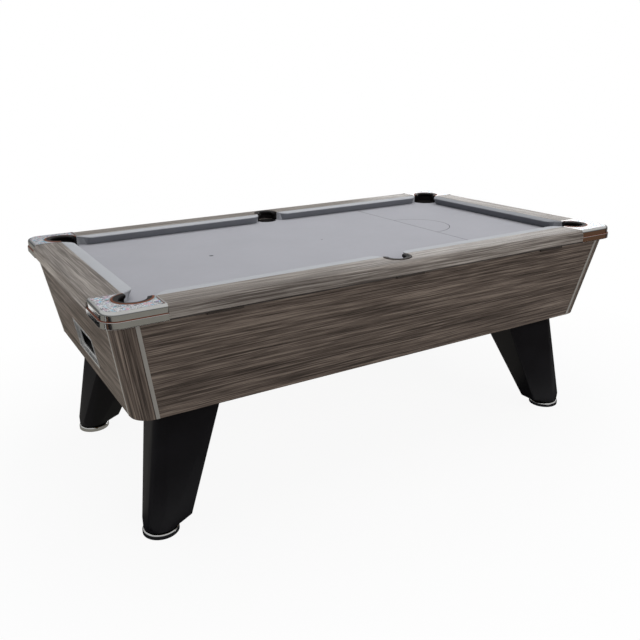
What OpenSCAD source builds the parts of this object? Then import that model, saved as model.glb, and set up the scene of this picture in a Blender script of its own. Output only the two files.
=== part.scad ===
// Coin-operated pool table with a hinged lift-up playing top and a tapered cabinet.
// X runs along the table, with the ball-return window at the -X end. Y runs across it, with the
// coin mechanism on the +Y side. Z is up and the floor is at zero. Millimetres.

/* [Playing surface] */
// Length between the noses of the two end cushions
play_l = 1829; // [1700:1:1900]
// Width between the noses of the long cushions
play_w = 914; // [860:1:960]
// Height of the cloth above the floor
bed_h = 803; // [780:1:830]
// Thickness of the slate
slate_t = 19; // [16:1:25]
// Thickness of the cloth on the slate
cloth_t = 1; // [0.8:0.1:1.5]
// How far the slate runs out past the cushion noses
slate_out = 84; // [78:1:88]

/* [Top rails] */
// Width of an end rail, from its outer edge to the back of its cushion
end_rail_w = 108.5; // [100:0.5:120]
// Width of a side rail, from its outer edge to the back of its cushion
side_rail_w = 105; // [98:0.5:120]
// Height of the rail tops above the cloth
rail_rise = 35; // [30:1:40]
// How far the rails hang below the cloth
rail_drop = 15; // [10:1:18]
// Depth of a cushion from its nose to its back
cushion_w = 44; // [38:1:48]
// Height of a cushion's nose above the cloth
nose_h = 32; // [28:1:34]
// Radius of a rail's outer top edge
rail_round = 22; // [10:1:26]
// Radius of a rail's outer bottom edge
rail_foot_round = 9; // [4:1:12]
// Radius of the bolts that hold the rails to the slate
rail_bolt_r = 4; // [3:0.5:5]

/* [Pockets] */
// Distance of a corner pocket's centre past each nose line
corner_out = 31; // [28:1:34]
// Outer radius of a corner pocket's liner
corner_r = 64; // [60:1:66]
// Distance of a middle pocket's rim centre past the nose line
middle_out = 63; // [60:1:66]
// Outer radius of a middle pocket's rim
middle_r = 53; // [50:1:55]
// Distance of a middle pocket's drop past the nose line
drop_out = 51; // [48:1:53]
// Outer radius of a middle pocket's drop tube
drop_r = 44; // [42:1:46]
// Wall of the pocket liners
liner_t = 9; // [6:1:10]
// Inner radius of the throat that a ball drops through
throat_r = 31; // [29:1:33]
// Distance from the corner of the nose lines to a cushion's tip
corner_jaw = 73; // [68:1:78]
// Distance from the middle of the table to a cushion's tip at a middle pocket
middle_jaw = 60; // [56:1:64]

/* [Corner castings] */
// How far a casting runs past its pocket along the side rail
casting_past_side = 4.5; // [4:0.5:30]
// How far a casting runs past its pocket along the end rail
casting_past_end = 8; // [4:0.5:30]
// Radius of a casting's outer corner
casting_r = 55; // [40:1:70]
// Wall of the casting
casting_t = 5; // [4:1:7]
// Height of the casting's lower band
band_h = 23; // [20:1:26]
// How far the upper band stands in from the lower one
band_step = 4; // [3:1:6]
// Width of the bright rim round the inlay
rim_w = 13; // [10:1:16]

/* [Cabinet] */
// How far the top overhangs the cabinet at each end
end_overhang = 26.5; // [20:0.5:35]
// How far the top overhangs the cabinet at each side
side_overhang = 11; // [10.5:0.5:14]
// How far the cabinet's bottom edge stands in from its top edge at each end
end_taper = 53.5; // [30:0.5:60]
// How far the cabinet's bottom edge stands in from its top edge at each side
side_taper = 66; // [50:0.5:72]
// Height of the cabinet
cab_h = 335.7; // [320:0.1:360]
// Thickness of the side and end panels
panel_t = 18; // [15:1:20]
// Outer radius of the corner posts
post_r = 64; // [50:1:66]
// Width of the bright edging strips
strip_w = 12; // [8:1:14]
// Thickness of the edging strips
strip_t = 4; // [3:1:5]
// How far the edging strips stand proud of the panels
strip_proud = 1; // [0.5:0.5:1.5]

/* [Ball-return window] */
// Width of the window's frame
window_w = 270; // [240:1:280]
// Height of the window's frame
window_h = 112; // [100:1:120]
// Height of the frame's centre above the cabinet's bottom edge
window_rise = 119; // [110:1:128]
// Place of the window's centre across the table
window_y = -49; // [-60:1:0]
// Depth of the framed recess
window_d = 34; // [25:1:40]

/* [Ball runs] */
// Width inside a ball run
run_w = 92; // [80:1:94]
// Wall of the plywood runs
run_t = 8; // [6:1:9]
// Depth of a run
run_h = 40; // [32:1:40]
// Drop from the cloth to the long runs' floor at their high end
run_depth = 115; // [110:1:120]
// Fall of the long runs from end to end
run_fall = 43; // [36:1:45]
// Fall of the trough from each side to the gully
trough_fall = 22; // [16:1:24]
// Width inside the storage gully
gully_w = 120; // [112:1:130]
// Fall of the gully to its outlet
gully_fall = 14; // [10:1:16]

/* [Coin mechanism] */
// Travel of the coin slide
slide_travel = 50; // [40:1:52]
// Height of the coin slide above the gate's lever
slide_rise = 12; // [11:1:14]
// Length of the lever on the ball gate
lever_l = 65; // [60:1:70]
// Radius of the gate's upright shaft
gate_shaft_r = 4; // [3:0.5:5]
// Radius of the lock plugs
lock_r = 6; // [5:0.5:7]

/* [Legs and feet] */
// Length of a leg's top
leg_head_l = 243; // [200:1:255]
// Width of a leg's top
leg_head_w = 215; // [200:1:236]
// How far a leg's top stands in from the cabinet's bottom edge at the end
leg_in_x = 86; // [80:1:130]
// How far a leg's top stands in from the cabinet's bottom edge at the side
leg_in_y = 65; // [50:1:80]
// How far a leg's bottom stands out past its top towards the end
leg_splay_x = 77; // [50:1:85]
// How far a leg's bottom stands out past its top towards the side
leg_splay_y = 25; // [15:1:35]
// Length of a leg just above its foot
leg_foot_l = 162; // [140:1:170]
// Width of a leg just above its foot
leg_foot_w = 88; // [80:1:110]
// Radius of a levelling foot
foot_r = 62; // [50:1:64]
// Height of a levelling foot's dome
foot_h = 22; // [16:1:22]
// Radius of a foot's threaded stem
stem_r = 8; // [6:0.5:10]
// How far a foot can be wound out
foot_travel = 20; // [10:1:30]

/* [Top hinge and stay] */
// Radius of the hinge knuckles
knuckle_r = 3.5; // [3:0.1:3.8]
// Radius of the hinge pins
hinge_pin_r = 1.8; // [1.5:0.1:2]
// Length of each hinge
hinge_l = 120; // [100:1:160]
// Angle that the top opens to
open_angle = 30; // [20:1:32]
// Radius of the prop stay's rod
stay_r = 6; // [5:0.5:8]

/* [Hidden] */

$fn = 64;
// Small gap between a moving piece and what it passes, and between the top and the cabinet
run_gap = 0.3;
// Running clearance of a pin in its bore
pin_gap = 0.1;
// Gap left between the leaning faces of pieces that are fixed together
fit_gap = 0.05;
// Room that a cutter runs past the face that it cuts
over = 1;

laminate = [0.42, 0.38, 0.34];
laminate_pale = [0.55, 0.51, 0.47];
cloth_grey = [0.60, 0.61, 0.65];
cushion_grey = [0.72, 0.73, 0.73];
chrome = [0.80, 0.80, 0.80];
black_satin = [0.07, 0.07, 0.08];
liner_brown = [0.16, 0.10, 0.07];
plywood = [0.72, 0.60, 0.43];
steel = [0.62, 0.63, 0.65];

rail_top = bed_h + rail_rise;
rail_low = bed_h - rail_drop;
slate_low = bed_h - cloth_t - slate_t;
run_high = bed_h - run_depth;
run_low = run_high - run_fall;
nose_x = play_l/2;
nose_y = play_w/2;
back_x = nose_x + cushion_w;
back_y = nose_y + cushion_w;
edge_x = back_x + end_rail_w;
edge_y = back_y + side_rail_w;
table_l = 2*edge_x;
table_w = 2*edge_y;
slate_x = nose_x + slate_out;
slate_y = nose_y + slate_out;
// Gap between the slate's edge and the rails' skirts
skirt_gap = 3;
skirt_x = edge_x - slate_x - skirt_gap;
skirt_y = edge_y - slate_y - skirt_gap;
corner_at = [nose_x + corner_out, nose_y + corner_out];
rim_at = [0, nose_y + middle_out];
drop_at = [0, nose_y + drop_out];
// Wall of the middle pockets' drop tubes, which stand in the slate
drop_t = 4;
// Heights at which a liner's tube turns into its funnel and where the funnel ends
funnel_drop = 28;
funnel_gap = 9;
funnel_high = bed_h - funnel_drop;
funnel_low = run_high + run_h + funnel_gap;
// Where the castings end along the side rails and along the end rails
cast_x = corner_at.x - corner_r - casting_past_side;
cast_y = corner_at.y - corner_r - casting_past_end;

// Timber frame under the slate
frame_h = 28;
frame_w = 58;
frame_low = slate_low - frame_h;
frame_gap = 6;
frame_in = 32.5;
frame_y = corner_at.y - corner_r - frame_gap;
frame_x = slate_x - frame_in;
frame_pitch = 480;

cab_high = rail_low - run_gap;
cab_low = cab_high - cab_h;
foot_x = edge_x - end_overhang - end_taper;
foot_y = edge_y - side_overhang - side_taper;
window_z = cab_low + window_rise;
lean_x = end_taper/cab_h;
lean_y = side_taper/cab_h;
sec_x = norm([1, lean_x]);
sec_y = norm([1, lean_y]);
tilt_x = atan(lean_x);
tilt_y = atan(lean_y);
board_t = 18;
floor_z = cab_low + board_t;

// Half length and half width of the cabinet's outside at height z
function half_l(z) = foot_x + lean_x*(z - cab_low);
function half_w(z) = foot_y + lean_y*(z - cab_low);
// Half width of the room inside the panels at height z
function room_y(z) = half_w(z) - panel_t*sec_y;

// Points of a round of radius r in place of the corner b between a and c
function fillet(a, b, c, r, n = 6) =
  let (u = (a - b)/norm(a - b), v = (c - b)/norm(c - b), half = acos(u*v)/2,
    m = b + (u + v)/norm(u + v)*r/sin(half), p = b + u*r/tan(half) - m, q = b + v*r/tan(half) - m,
    s = atan2(p.y, p.x), turn = (atan2(q.y, q.x) - s + 540) % 360 - 180)
  [for (i = [0:n]) m + r*[cos(s + turn*i/n), sin(s + turn*i/n)]];

// A part drawn for the +X +Y corner, put at another corner
module at_corner(x_side, y_side) {
  mirror([x_side < 0 ? 1 : 0, 0, 0]) mirror([0, y_side < 0 ? 1 : 0, 0]) children();
}
module flip_y(on) {
  if (on) mirror([0, 1, 0]) children();
  else children();
}
// Copies at all four corners
module four() {
  for (x_side = [-1, 1], y_side = [-1, 1]) at_corner(x_side, y_side) children();
}
// A section drawn as inward distance and height, drawn out along X or Y at the table's edge
module along_x(from, to) {
  translate([from, edge_y, rail_low]) rotate([90, 0, 90]) linear_extrude(to - from)
    mirror([1, 0]) children();
}
module along_y(from, to) {
  translate([edge_x, to, rail_low]) rotate([90, 0, 0]) linear_extrude(to - from)
    mirror([1, 0]) children();
}

// The space between the two leaning end planes, or side planes, moved in by a distance
module between_ends(inset, low = cab_low, high = cab_high) {
  a = half_l(low) - inset*sec_x;
  b = half_l(high) - inset*sec_x;
  rotate([90, 0, 0]) linear_extrude(2*table_w, center = true)
    polygon([[-a, low], [a, low], [b, high], [-b, high]]);
}
module between_sides(inset, low = cab_low, high = cab_high) {
  a = half_w(low) - inset*sec_y;
  b = half_w(high) - inset*sec_y;
  rotate([90, 0, 90]) linear_extrude(2*table_l, center = true)
    polygon([[-a, low], [a, low], [b, high], [-b, high]]);
}
module room(low, high) {
  intersection() {
    between_ends(panel_t + fit_gap, low, high);
    between_sides(panel_t + fit_gap, low, high);
  }
}
// The +X +Y quarter of space
module quarter() {
  cube([table_l, table_w, 2*bed_h]);
}
// A frame on the far panel: X to the right for someone facing it, Y up the slope, Z outwards
module on_far_panel(x, z) {
  translate([x, half_w(z), z]) rotate([-90 - tilt_y, 0, 0]) rotate([0, 0, 180]) children();
}
// A frame on the return end panel: X up the slope, Y along world Y, Z outwards
module on_return_panel(y, z) {
  translate([-half_l(z), y, z]) rotate([0, -90 - tilt_x, 0]) children();
}

/* Playing surface */
bolt_x = [300, 720];
bolt_end_y = 230;
bolt_in = 14;
bolt_reach = 22;
module at_rail_bolts() {
  for (x_side = [-1, 1], y_side = [-1, 1]) at_corner(x_side, y_side) {
    for (x = bolt_x) translate([x, slate_y - bolt_in, 0]) children();
    translate([slate_x - bolt_in, bolt_end_y, 0]) children();
  }
}
module pocket_holes(low, high) {
  four() translate([corner_at.x, corner_at.y, low]) cylinder(r = corner_r + run_gap, h = high - low);
  four() translate([corner_at.x, corner_at.y, low]) cube([slate_out, slate_out, high - low]);
  for (side = [-1, 1]) {
    translate([0, side*drop_at.y, low]) cylinder(r = drop_r + run_gap, h = high - low);
    flip_y(side < 0) translate([-drop_r - run_gap, drop_at.y, low])
      cube([2*drop_r + 2*run_gap, slate_out, high - low]);
  }
}
module slate() {
  color("slategray") difference() {
    translate([-slate_x, -slate_y, slate_low]) cube([2*slate_x, 2*slate_y, slate_t]);
    pocket_holes(slate_low - over, bed_h);
    at_rail_bolts() translate([0, 0, slate_low - over])
      cylinder(r = rail_bolt_r + 2*run_gap, h = slate_t + 2*over);
  }
}
module bed_cloth() {
  color(cloth_grey) difference() {
    translate([-slate_x, -slate_y, bed_h - cloth_t]) cube([2*slate_x, 2*slate_y, cloth_t]);
    pocket_holes(bed_h - 2*over, bed_h + over);
    at_rail_bolts() translate([0, 0, bed_h - 2*over])
      cylinder(r = rail_bolt_r + 2*run_gap, h = 3*over);
  }
}
module rail_bolts() {
  head_h = 5.5;
  head_r = 7.5;
  washer_r = 12;
  washer_t = 1.5;
  color(steel) at_rail_bolts() {
    translate([0, 0, slate_low - washer_t - head_h]) {
      cylinder(r = rail_bolt_r, h = bed_h + bolt_reach - slate_low + washer_t + head_h);
      cylinder(r = head_r, h = head_h + over/2, $fn = 6);
    }
    translate([0, 0, slate_low - washer_t]) cylinder(r = washer_r, h = washer_t);
  }
}
module top_frame() {
  cross_x = [-frame_pitch, 0, frame_pitch];
  color(plywood) {
    for (side = [-1, 1]) {
      translate([-frame_x, side*(frame_y - frame_w/2) - frame_w/2, frame_low])
        cube([2*frame_x, frame_w, frame_h]);
      translate([side*(frame_x - frame_w/2) - frame_w/2, frame_w - frame_y, frame_low])
        cube([frame_w, 2*(frame_y - frame_w), frame_h]);
    }
    for (x = cross_x) translate([x - frame_w/2, frame_w - frame_y, frame_low])
      cube([frame_w, 2*(frame_y - frame_w), frame_h]);
  }
}

/* Top rails */
module rail_section(depth, skirt) {
  top = rail_top - rail_low;
  translate([rail_round, top - rail_round]) circle(rail_round);
  translate([rail_foot_round, rail_foot_round]) circle(rail_foot_round);
  translate([0, rail_foot_round]) square([skirt, top - rail_round - rail_foot_round]);
  translate([rail_foot_round, 0]) square([skirt - rail_foot_round, top - rail_round]);
  translate([rail_round, rail_drop]) square([depth - rail_round, top - rail_drop]);
}
module rail_bolt_holes() {
  at_rail_bolts() translate([0, 0, bed_h - over])
    cylinder(r = rail_bolt_r + run_gap/2, h = bolt_reach + 2*over);
}
module side_rail() {
  difference() {
    along_x(-cast_x, cast_x) rail_section(edge_y - back_y, skirt_y);
    translate([rim_at.x, rim_at.y, bed_h - over]) cylinder(r = middle_r + run_gap, h = rail_rise + 2*over);
    translate([drop_at.x, drop_at.y, rail_low - over]) cylinder(r = drop_r + run_gap, h = rail_rise);
    rail_bolt_holes();
  }
}
module top_rail_near() {
  color(laminate_pale) difference() {
    mirror([0, 1, 0]) side_rail();
    at_hinges() translate([-hinge_l/2 - over/2, -knuckle_r - over, rail_low - hinge_z - over])
      cube([hinge_l + over, hinge_y_in + knuckle_r + 2*over, leaf_t + over + run_gap]);
  }
}
module top_rail_far() {
  color(laminate_pale) side_rail();
}
module end_rail() {
  difference() {
    along_y(-cast_y, cast_y) rail_section(edge_x - back_x, skirt_x);
    rail_bolt_holes();
  }
}
module top_rail_return_end() {
  color(laminate_pale) mirror([1, 0, 0]) end_rail();
}
module top_rail_baulk_end() {
  color(laminate_pale) end_rail();
}

/* Corner castings, each a thin shell with a stepped skirt and a recess for its inlay */
casting_rise = 1;
casting_top = rail_top + casting_rise;
upper_round = 12;
band_round = 3;
top_t = 7;
inlay_t = 1.4;
module casting_section(depth, skirt) {
  top = casting_top - rail_low;
  translate([band_round, band_round]) circle(band_round);
  translate([band_round, band_h - band_round]) circle(band_round);
  translate([0, band_round]) square([skirt, band_h - 2*band_round]);
  translate([band_round, 0]) square([skirt - band_round, band_h]);
  translate([band_step + upper_round, top - upper_round]) circle(upper_round);
  translate([band_step, band_h - over]) square([skirt - band_step, top - upper_round - band_h + over]);
  translate([band_step + upper_round, rail_drop])
    square([depth - band_step - upper_round, top - rail_drop]);
}
module casting_hollow(depth) {
  wall = band_step + casting_t;
  translate([wall, -over]) square([depth - wall + over, casting_top - rail_low - top_t + over]);
}
module casting_plan(outer, ends, inner, hole) {
  difference() {
    union() {
      translate([cast_x + ends, back_y + inner])
        square([edge_x - casting_r - cast_x - ends, edge_y - back_y - inner - outer]);
      translate([back_x + inner, cast_y + ends])
        square([edge_x - back_x - inner - outer, edge_y - casting_r - cast_y - ends]);
      intersection() {
        translate([edge_x - casting_r, edge_y - casting_r]) circle(casting_r - outer);
        translate([edge_x - casting_r - over, edge_y - casting_r - over]) square(casting_r + over);
      }
    }
    translate(corner_at) circle(hole);
  }
}
module corner_casting() {
  depth_y = edge_y - back_y;
  depth_x = edge_x - back_x;
  color(chrome) difference() {
    union() {
      along_x(cast_x, edge_x - casting_r) casting_section(depth_y, skirt_y);
      along_y(cast_y, edge_y - casting_r) casting_section(depth_x, skirt_x);
      translate([edge_x - casting_r, edge_y - casting_r, rail_low]) rotate_extrude(angle = 90)
        intersection() {
          translate([casting_r, 0]) mirror([1, 0]) casting_section(2*casting_r, 2*casting_r);
          square([casting_r, rail_rise + 2*rail_drop]);
        }
    }
    along_x(cast_x + casting_t, edge_x - casting_r) casting_hollow(depth_y);
    along_y(cast_y + casting_t, edge_y - casting_r) casting_hollow(depth_x);
    translate([edge_x - casting_r, edge_y - casting_r, rail_low]) rotate_extrude(angle = 90)
      intersection() {
        translate([casting_r, 0]) mirror([1, 0]) casting_hollow(casting_r);
        translate([0, -2*over]) square(2*casting_r);
      }
    translate([corner_at.x, corner_at.y, rail_low - over])
      cylinder(r = corner_r, h = casting_top - rail_low + 2*over);
    translate([0, 0, casting_top - inlay_t]) linear_extrude(inlay_t + over)
      casting_plan(rim_w, rim_w/3, rim_w/4, corner_r + liner_t/2);
  }
}
module casting_near_left() {
  at_corner(-1, -1) corner_casting();
}
module casting_near_right() {
  at_corner(1, -1) corner_casting();
}
module casting_far_left() {
  at_corner(-1, 1) corner_casting();
}
module casting_far_right() {
  at_corner(1, 1) corner_casting();
}
module casting_inlays() {
  fit = 0.2;
  color("silver") four() translate([0, 0, casting_top - inlay_t]) linear_extrude(inlay_t)
    casting_plan(rim_w + fit, rim_w/3 + fit, rim_w/4 + fit, corner_r + liner_t/2 + fit);
}

/* Pocket liners: a rim, a tube through the slate and a funnel down to the ball runs */
lip_rise = 1.5;
module funnel(outer, wall) {
  rotate_extrude() polygon([[outer, funnel_high], [outer - wall, funnel_high],
    [throat_r, funnel_low], [throat_r + wall, funnel_low]]);
}
module tube(outer, wall, low, high) {
  translate([0, 0, low]) difference() {
    cylinder(r = outer, h = high - low);
    translate([0, 0, -over]) cylinder(r = outer - wall, h = high - low + 2*over);
  }
}
module corner_pocket_liners() {
  outer = corner_r - run_gap;
  jaw_start = atan2(sqrt(corner_r*corner_r - pow(back_y - corner_at.y, 2)), back_y - corner_at.y);
  mouth = 2*corner_r;
  color(liner_brown) four() translate(corner_at) difference() {
    union() {
      tube(outer, liner_t, funnel_high, casting_top + lip_rise);
      funnel(outer, liner_t);
    }
    translate([0, 0, bed_h - cloth_t]) linear_extrude(2*rail_rise) polygon([[0, 0],
      mouth*[cos(90 + jaw_start), sin(90 + jaw_start)], [-mouth, -mouth],
      mouth*[sin(90 + jaw_start), cos(90 + jaw_start)]]);
  }
}
module middle_pocket_liners() {
  flange_t = 3;
  outer = middle_r - run_gap;
  color(liner_brown) for (side = [-1, 1]) flip_y(side < 0) difference() {
    union() {
      intersection() {
        translate(rim_at) union() {
          tube(outer, liner_t, bed_h, rail_top + lip_rise);
          tube(outer, outer - drop_r/2, bed_h, bed_h + flange_t);
        }
        translate([-middle_r, back_y, bed_h]) cube([2*middle_r, 2*middle_r, rail_rise + 2*lip_rise]);
      }
      translate(drop_at) {
        tube(drop_r, drop_t, funnel_high, bed_h);
        funnel(drop_r, drop_t);
      }
      intersection() {
        translate(drop_at) tube(drop_r, drop_t, bed_h - over, bed_h + flange_t);
        translate([-middle_r, back_y, bed_h - over]) cube([2*middle_r, 2*middle_r, 2*flange_t]);
      }
    }
    translate([drop_at.x, drop_at.y, funnel_high]) cylinder(r = drop_r - drop_t, h = 2*rail_rise);
  }
}

/* Cushions: rubber on the rails' inner faces, with jaws cut back to the pockets */
jaw_round = 14;
nose_round = 4;
nose_over = 1.2;
undercut = 16;
cushion_gap = 0.2;
module cushion_section() {
  nose = [cushion_w + nose_over, nose_h + 2];
  foot = [cushion_w - undercut, cushion_gap];
  polygon(concat([[0, cushion_gap], [0, rail_rise]], fillet([0, rail_rise], nose, foot, nose_round),
    [foot]));
}
module side_cushion() {
  middle_back = sqrt(middle_r*middle_r - pow(back_y - rim_at.y, 2)) + over;
  corner_back = corner_at.x - sqrt(corner_r*corner_r - pow(back_y - corner_at.y, 2)) - over;
  a = [middle_jaw, nose_y - nose_over];
  b = [nose_x - corner_jaw, nose_y - nose_over];
  c = [corner_back, back_y];
  d = [middle_back, back_y];
  color(cushion_grey) intersection() {
    translate([0, back_y, bed_h]) rotate([90, 0, 90]) linear_extrude(nose_x) mirror([1, 0])
      cushion_section();
    translate([0, 0, bed_h]) linear_extrude(2*rail_rise)
      polygon(concat(fillet(d, a, b, jaw_round), fillet(a, b, c, jaw_round), [c, d]));
  }
}
module end_cushion() {
  corner_back = corner_at.y - sqrt(corner_r*corner_r - pow(back_x - corner_at.x, 2)) - over;
  a = [nose_x - nose_over, corner_jaw - nose_y];
  b = [nose_x - nose_over, nose_y - corner_jaw];
  c = [back_x, corner_back];
  d = [back_x, -corner_back];
  color(cushion_grey) intersection() {
    translate([back_x, nose_y, bed_h]) rotate([90, 0, 0]) linear_extrude(2*nose_y) mirror([1, 0])
      cushion_section();
    translate([0, 0, bed_h]) linear_extrude(2*rail_rise)
      polygon(concat(fillet(d, a, b, jaw_round), fillet(a, b, c, jaw_round), [c, d]));
  }
}
module cushion_near_left() {
  at_corner(-1, -1) side_cushion();
}
module cushion_near_right() {
  at_corner(1, -1) side_cushion();
}
module cushion_far_left() {
  at_corner(-1, 1) side_cushion();
}
module cushion_far_right() {
  at_corner(1, 1) side_cushion();
}
module cushion_return_end() {
  mirror([1, 0, 0]) end_cushion();
}
module cushion_baulk_end() {
  end_cushion();
}

/* Hinges along the near side, under the rail's overhang */
hinge_in = 367;
hinge_at = [hinge_in - edge_x, 0, edge_x - hinge_in];
hinge_gap = 1.5;
hinge_y = -half_w(cab_high) - knuckle_r - hinge_gap;
hinge_z = rail_low - hinge_gap;
hinge_y_in = 20;
leaf_t = 2;
knuckles = 5;
module at_hinges() {
  for (x = hinge_at) translate([x, hinge_y, hinge_z]) children();
}
// Every second knuckle from the first one named, with its strip of leaf
module hinge_leaf(first, leaf_low) {
  piece = hinge_l/knuckles;
  for (i = [first:2:knuckles - 1]) translate([-hinge_l/2 + i*piece + run_gap/2, 0, 0]) {
    rotate([0, 90, 0]) cylinder(r = knuckle_r, h = piece - run_gap);
    translate([0, 0, leaf_low]) cube([piece - run_gap, knuckle_r + over, leaf_t]);
  }
  translate([-hinge_l/2, knuckle_r + run_gap, leaf_low])
    cube([hinge_l, hinge_y_in - knuckle_r - run_gap, leaf_t]);
}
module hinge_bore(radius) {
  translate([-hinge_l/2 - over, 0, 0]) rotate([0, 90, 0]) cylinder(r = radius, h = hinge_l + 2*over);
}
module hinge_top_leaves() {
  color(steel) at_hinges() difference() {
    hinge_leaf(1, rail_low - hinge_z);
    hinge_bore(hinge_pin_r + pin_gap);
  }
}
module hinge_body_leaves() {
  color(steel) at_hinges() {
    hinge_leaf(0, cab_high - hinge_z - leaf_t);
    translate([-hinge_l/2, 0, 0]) rotate([0, 90, 0]) cylinder(r = hinge_pin_r, h = hinge_l);
  }
}

/* Locks that hold the top down, on the far side */
lock_in = 447;
lock_x = [lock_in - edge_x, edge_x - lock_in];
lock_drop = 39.7;
lock_z = cab_high - lock_drop;
barrel_r = 9;
cam_l = 34;
cam_w = 12;
cam_t = 3;
cam_off = 4;
module lock_barrel(depth) {
  flange_r = 13;
  flange_t = 2.5;
  difference() {
    union() {
      translate([0, 0, -depth]) cylinder(r = barrel_r, h = depth);
      cylinder(r = flange_r, h = flange_t);
    }
    translate([0, 0, -depth - over]) cylinder(r = lock_r + pin_gap, h = depth + flange_t + 2*over);
  }
}
// The lock's plug with its cam, which stands up the slope when it is unlocked
module lock_plug(depth, reach) {
  plug_proud = 2;
  translate([0, 0, -depth - cam_off]) cylinder(r = lock_r, h = depth + cam_off + plug_proud);
  translate([-cam_w/2, 0, -depth - cam_off - cam_t]) cube([cam_w, reach, cam_t]);
  translate([0, 0, -depth - cam_off - cam_t]) cylinder(r = cam_w/2 + over, h = cam_t + over);
}
module lock_barrels() {
  color(chrome) for (x = lock_x) on_far_panel(x, lock_z) lock_barrel(panel_t + over);
}
module top_lock_left() {
  color(steel) on_far_panel(lock_x[0], lock_z) lock_plug(panel_t, cam_l);
}
module top_lock_right() {
  color(steel) on_far_panel(lock_x[1], lock_z) lock_plug(panel_t, cam_l);
}
module lock_keeps() {
  plate_t = 3;
  plate_w = 18;
  plate_at = 43;
  lip_l = 24;
  lip_z = lock_z - cam_w/2 - 1.5 - plate_t;
  y = room_y(lip_z) - over - plate_w;
  color(steel) for (x = lock_x) translate([x - plate_at - plate_t, y, 0]) {
    translate([0, 0, lip_z]) cube([plate_t, plate_w, rail_low - lip_z]);
    translate([0, 0, lip_z]) cube([lip_l, plate_w, plate_t]);
    translate([-lip_l, 0, rail_low - plate_t]) cube([lip_l + over, plate_w, plate_t]);
  }
}

/* Cabinet */
module side_panel() {
  difference() {
    intersection() {
      between_sides(0);
      between_ends(post_r);
      union() {
        between_ends(post_r + strip_w);
        between_sides(strip_t - strip_proud);
      }
      translate([-table_l, 0, 0]) cube([2*table_l, table_w, 2*bed_h]);
    }
    between_sides(panel_t, cab_low - over, cab_high + over);
  }
}
module side_panel_near() {
  color(laminate) difference() {
    mirror([0, 1, 0]) side_panel();
    at_hinges() translate([-hinge_l/2 - run_gap/2, 0, cab_high - hinge_z - leaf_t])
      cube([hinge_l + run_gap, hinge_y_in + run_gap, leaf_t + over]);
  }
}
module side_panel_far() {
  color(laminate) difference() {
    side_panel();
    for (x = lock_x) on_far_panel(x, lock_z) translate([0, 0, -panel_t - over])
      cylinder(r = barrel_r + run_gap/2, h = panel_t + 2*over);
    on_far_panel(mech_x, plate_z) translate([0, 0, -panel_t - over])
      linear_extrude(panel_t + 2*over) square([mech_w - 2*plate_lap, mech_h - 2*plate_lap], center = true);
  }
}
module end_panel() {
  difference() {
    intersection() {
      between_ends(0);
      between_sides(post_r);
      union() {
        between_sides(post_r + strip_w);
        between_ends(strip_t - strip_proud);
      }
      translate([0, -table_w, 0]) cube([table_l, 2*table_w, 2*bed_h]);
    }
    between_ends(panel_t, cab_low - over, cab_high + over);
  }
}
module end_panel_return() {
  color(laminate) difference() {
    mirror([1, 0, 0]) end_panel();
    on_return_panel(window_y, window_z) translate([0, 0, -panel_t - over])
      linear_extrude(panel_t + 2*over)
        square([window_h - 2*window_lap + run_gap, window_w - 2*window_lap + run_gap], center = true);
  }
}
module end_panel_baulk() {
  color(laminate) end_panel();
}
module post_core(radius) {
  reach = norm([lean_x, lean_y, 1])*(cab_high - cab_low);
  translate([half_l(cab_low) - post_r*sec_x, half_w(cab_low) - post_r*sec_y, cab_low])
    rotate([0, acos(1/norm([lean_x, lean_y, 1])), atan2(lean_y, lean_x)]) rotate([0, 0, 180])
      translate([0, 0, -reach/4]) cylinder(r = radius, h = 1.5*reach);
}
module corner_posts() {
  color(laminate) four() difference() {
    intersection() {
      translate([0, 0, cab_low]) cube([table_l, table_w, cab_high - cab_low]);
      post_core(post_r);
    }
    between_ends(post_r, cab_low - over, cab_high + over);
    between_sides(post_r, cab_low - over, cab_high + over);
    post_core(post_r - panel_t);
  }
}
module edging_strips() {
  color(chrome) four() {
    difference() {
      intersection() {
        between_ends(post_r);
        between_sides(-strip_proud);
        quarter();
      }
      between_ends(post_r + strip_w, cab_low - over, cab_high + over);
      between_sides(strip_t - strip_proud, cab_low - over, cab_high + over);
    }
    difference() {
      intersection() {
        between_sides(post_r);
        between_ends(-strip_proud);
        quarter();
      }
      between_sides(post_r + strip_w, cab_low - over, cab_high + over);
      between_ends(strip_t - strip_proud, cab_low - over, cab_high + over);
    }
  }
}
// Room for the corner posts at the corners of a board
module post_room() {
  four() difference() {
    quarter();
    between_ends(post_r, cab_low - over, cab_high + over);
    between_sides(post_r, cab_low - over, cab_high + over);
    post_core(post_r - panel_t - run_gap);
  }
}
leg_bolt_r = 6;
leg_bolt_dx = 75;
leg_bolt_dy = 60;
leg_bolt_depth = 40;
leg_head = [foot_x - leg_in_x, foot_y - leg_in_y];
leg_at = [leg_head.x - leg_head_l/2, leg_head.y - leg_head_w/2];
module at_leg_bolts() {
  for (dx = [-leg_bolt_dx, leg_bolt_dx], dy = [-leg_bolt_dy, leg_bolt_dy])
    translate([leg_at.x + dx, leg_at.y + dy, 0]) children();
}
module bottom_board() {
  color(plywood) difference() {
    room(cab_low, floor_z);
    post_room();
    four() at_leg_bolts() translate([0, 0, cab_low - over])
      cylinder(r = leg_bolt_r + run_gap, h = board_t + 2*over);
  }
}

/* Ball runs */
// Gap between a run and the panel beside it
run_side_gap = 1;
run_y = room_y(run_low - run_t) - run_side_gap - run_t - run_w/2;
// How far the runs stop short of the trough's middle part
mouth_gap = 4;
trough_w = 80;
trough_in = 387;
trough_x = trough_in - foot_x;
trough_y = run_y + run_w/2 + mouth_gap;
trough_step = 9;
trough_high = run_low - trough_step;
trough_low = trough_high - trough_fall;
trough_wall = 40;
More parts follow.
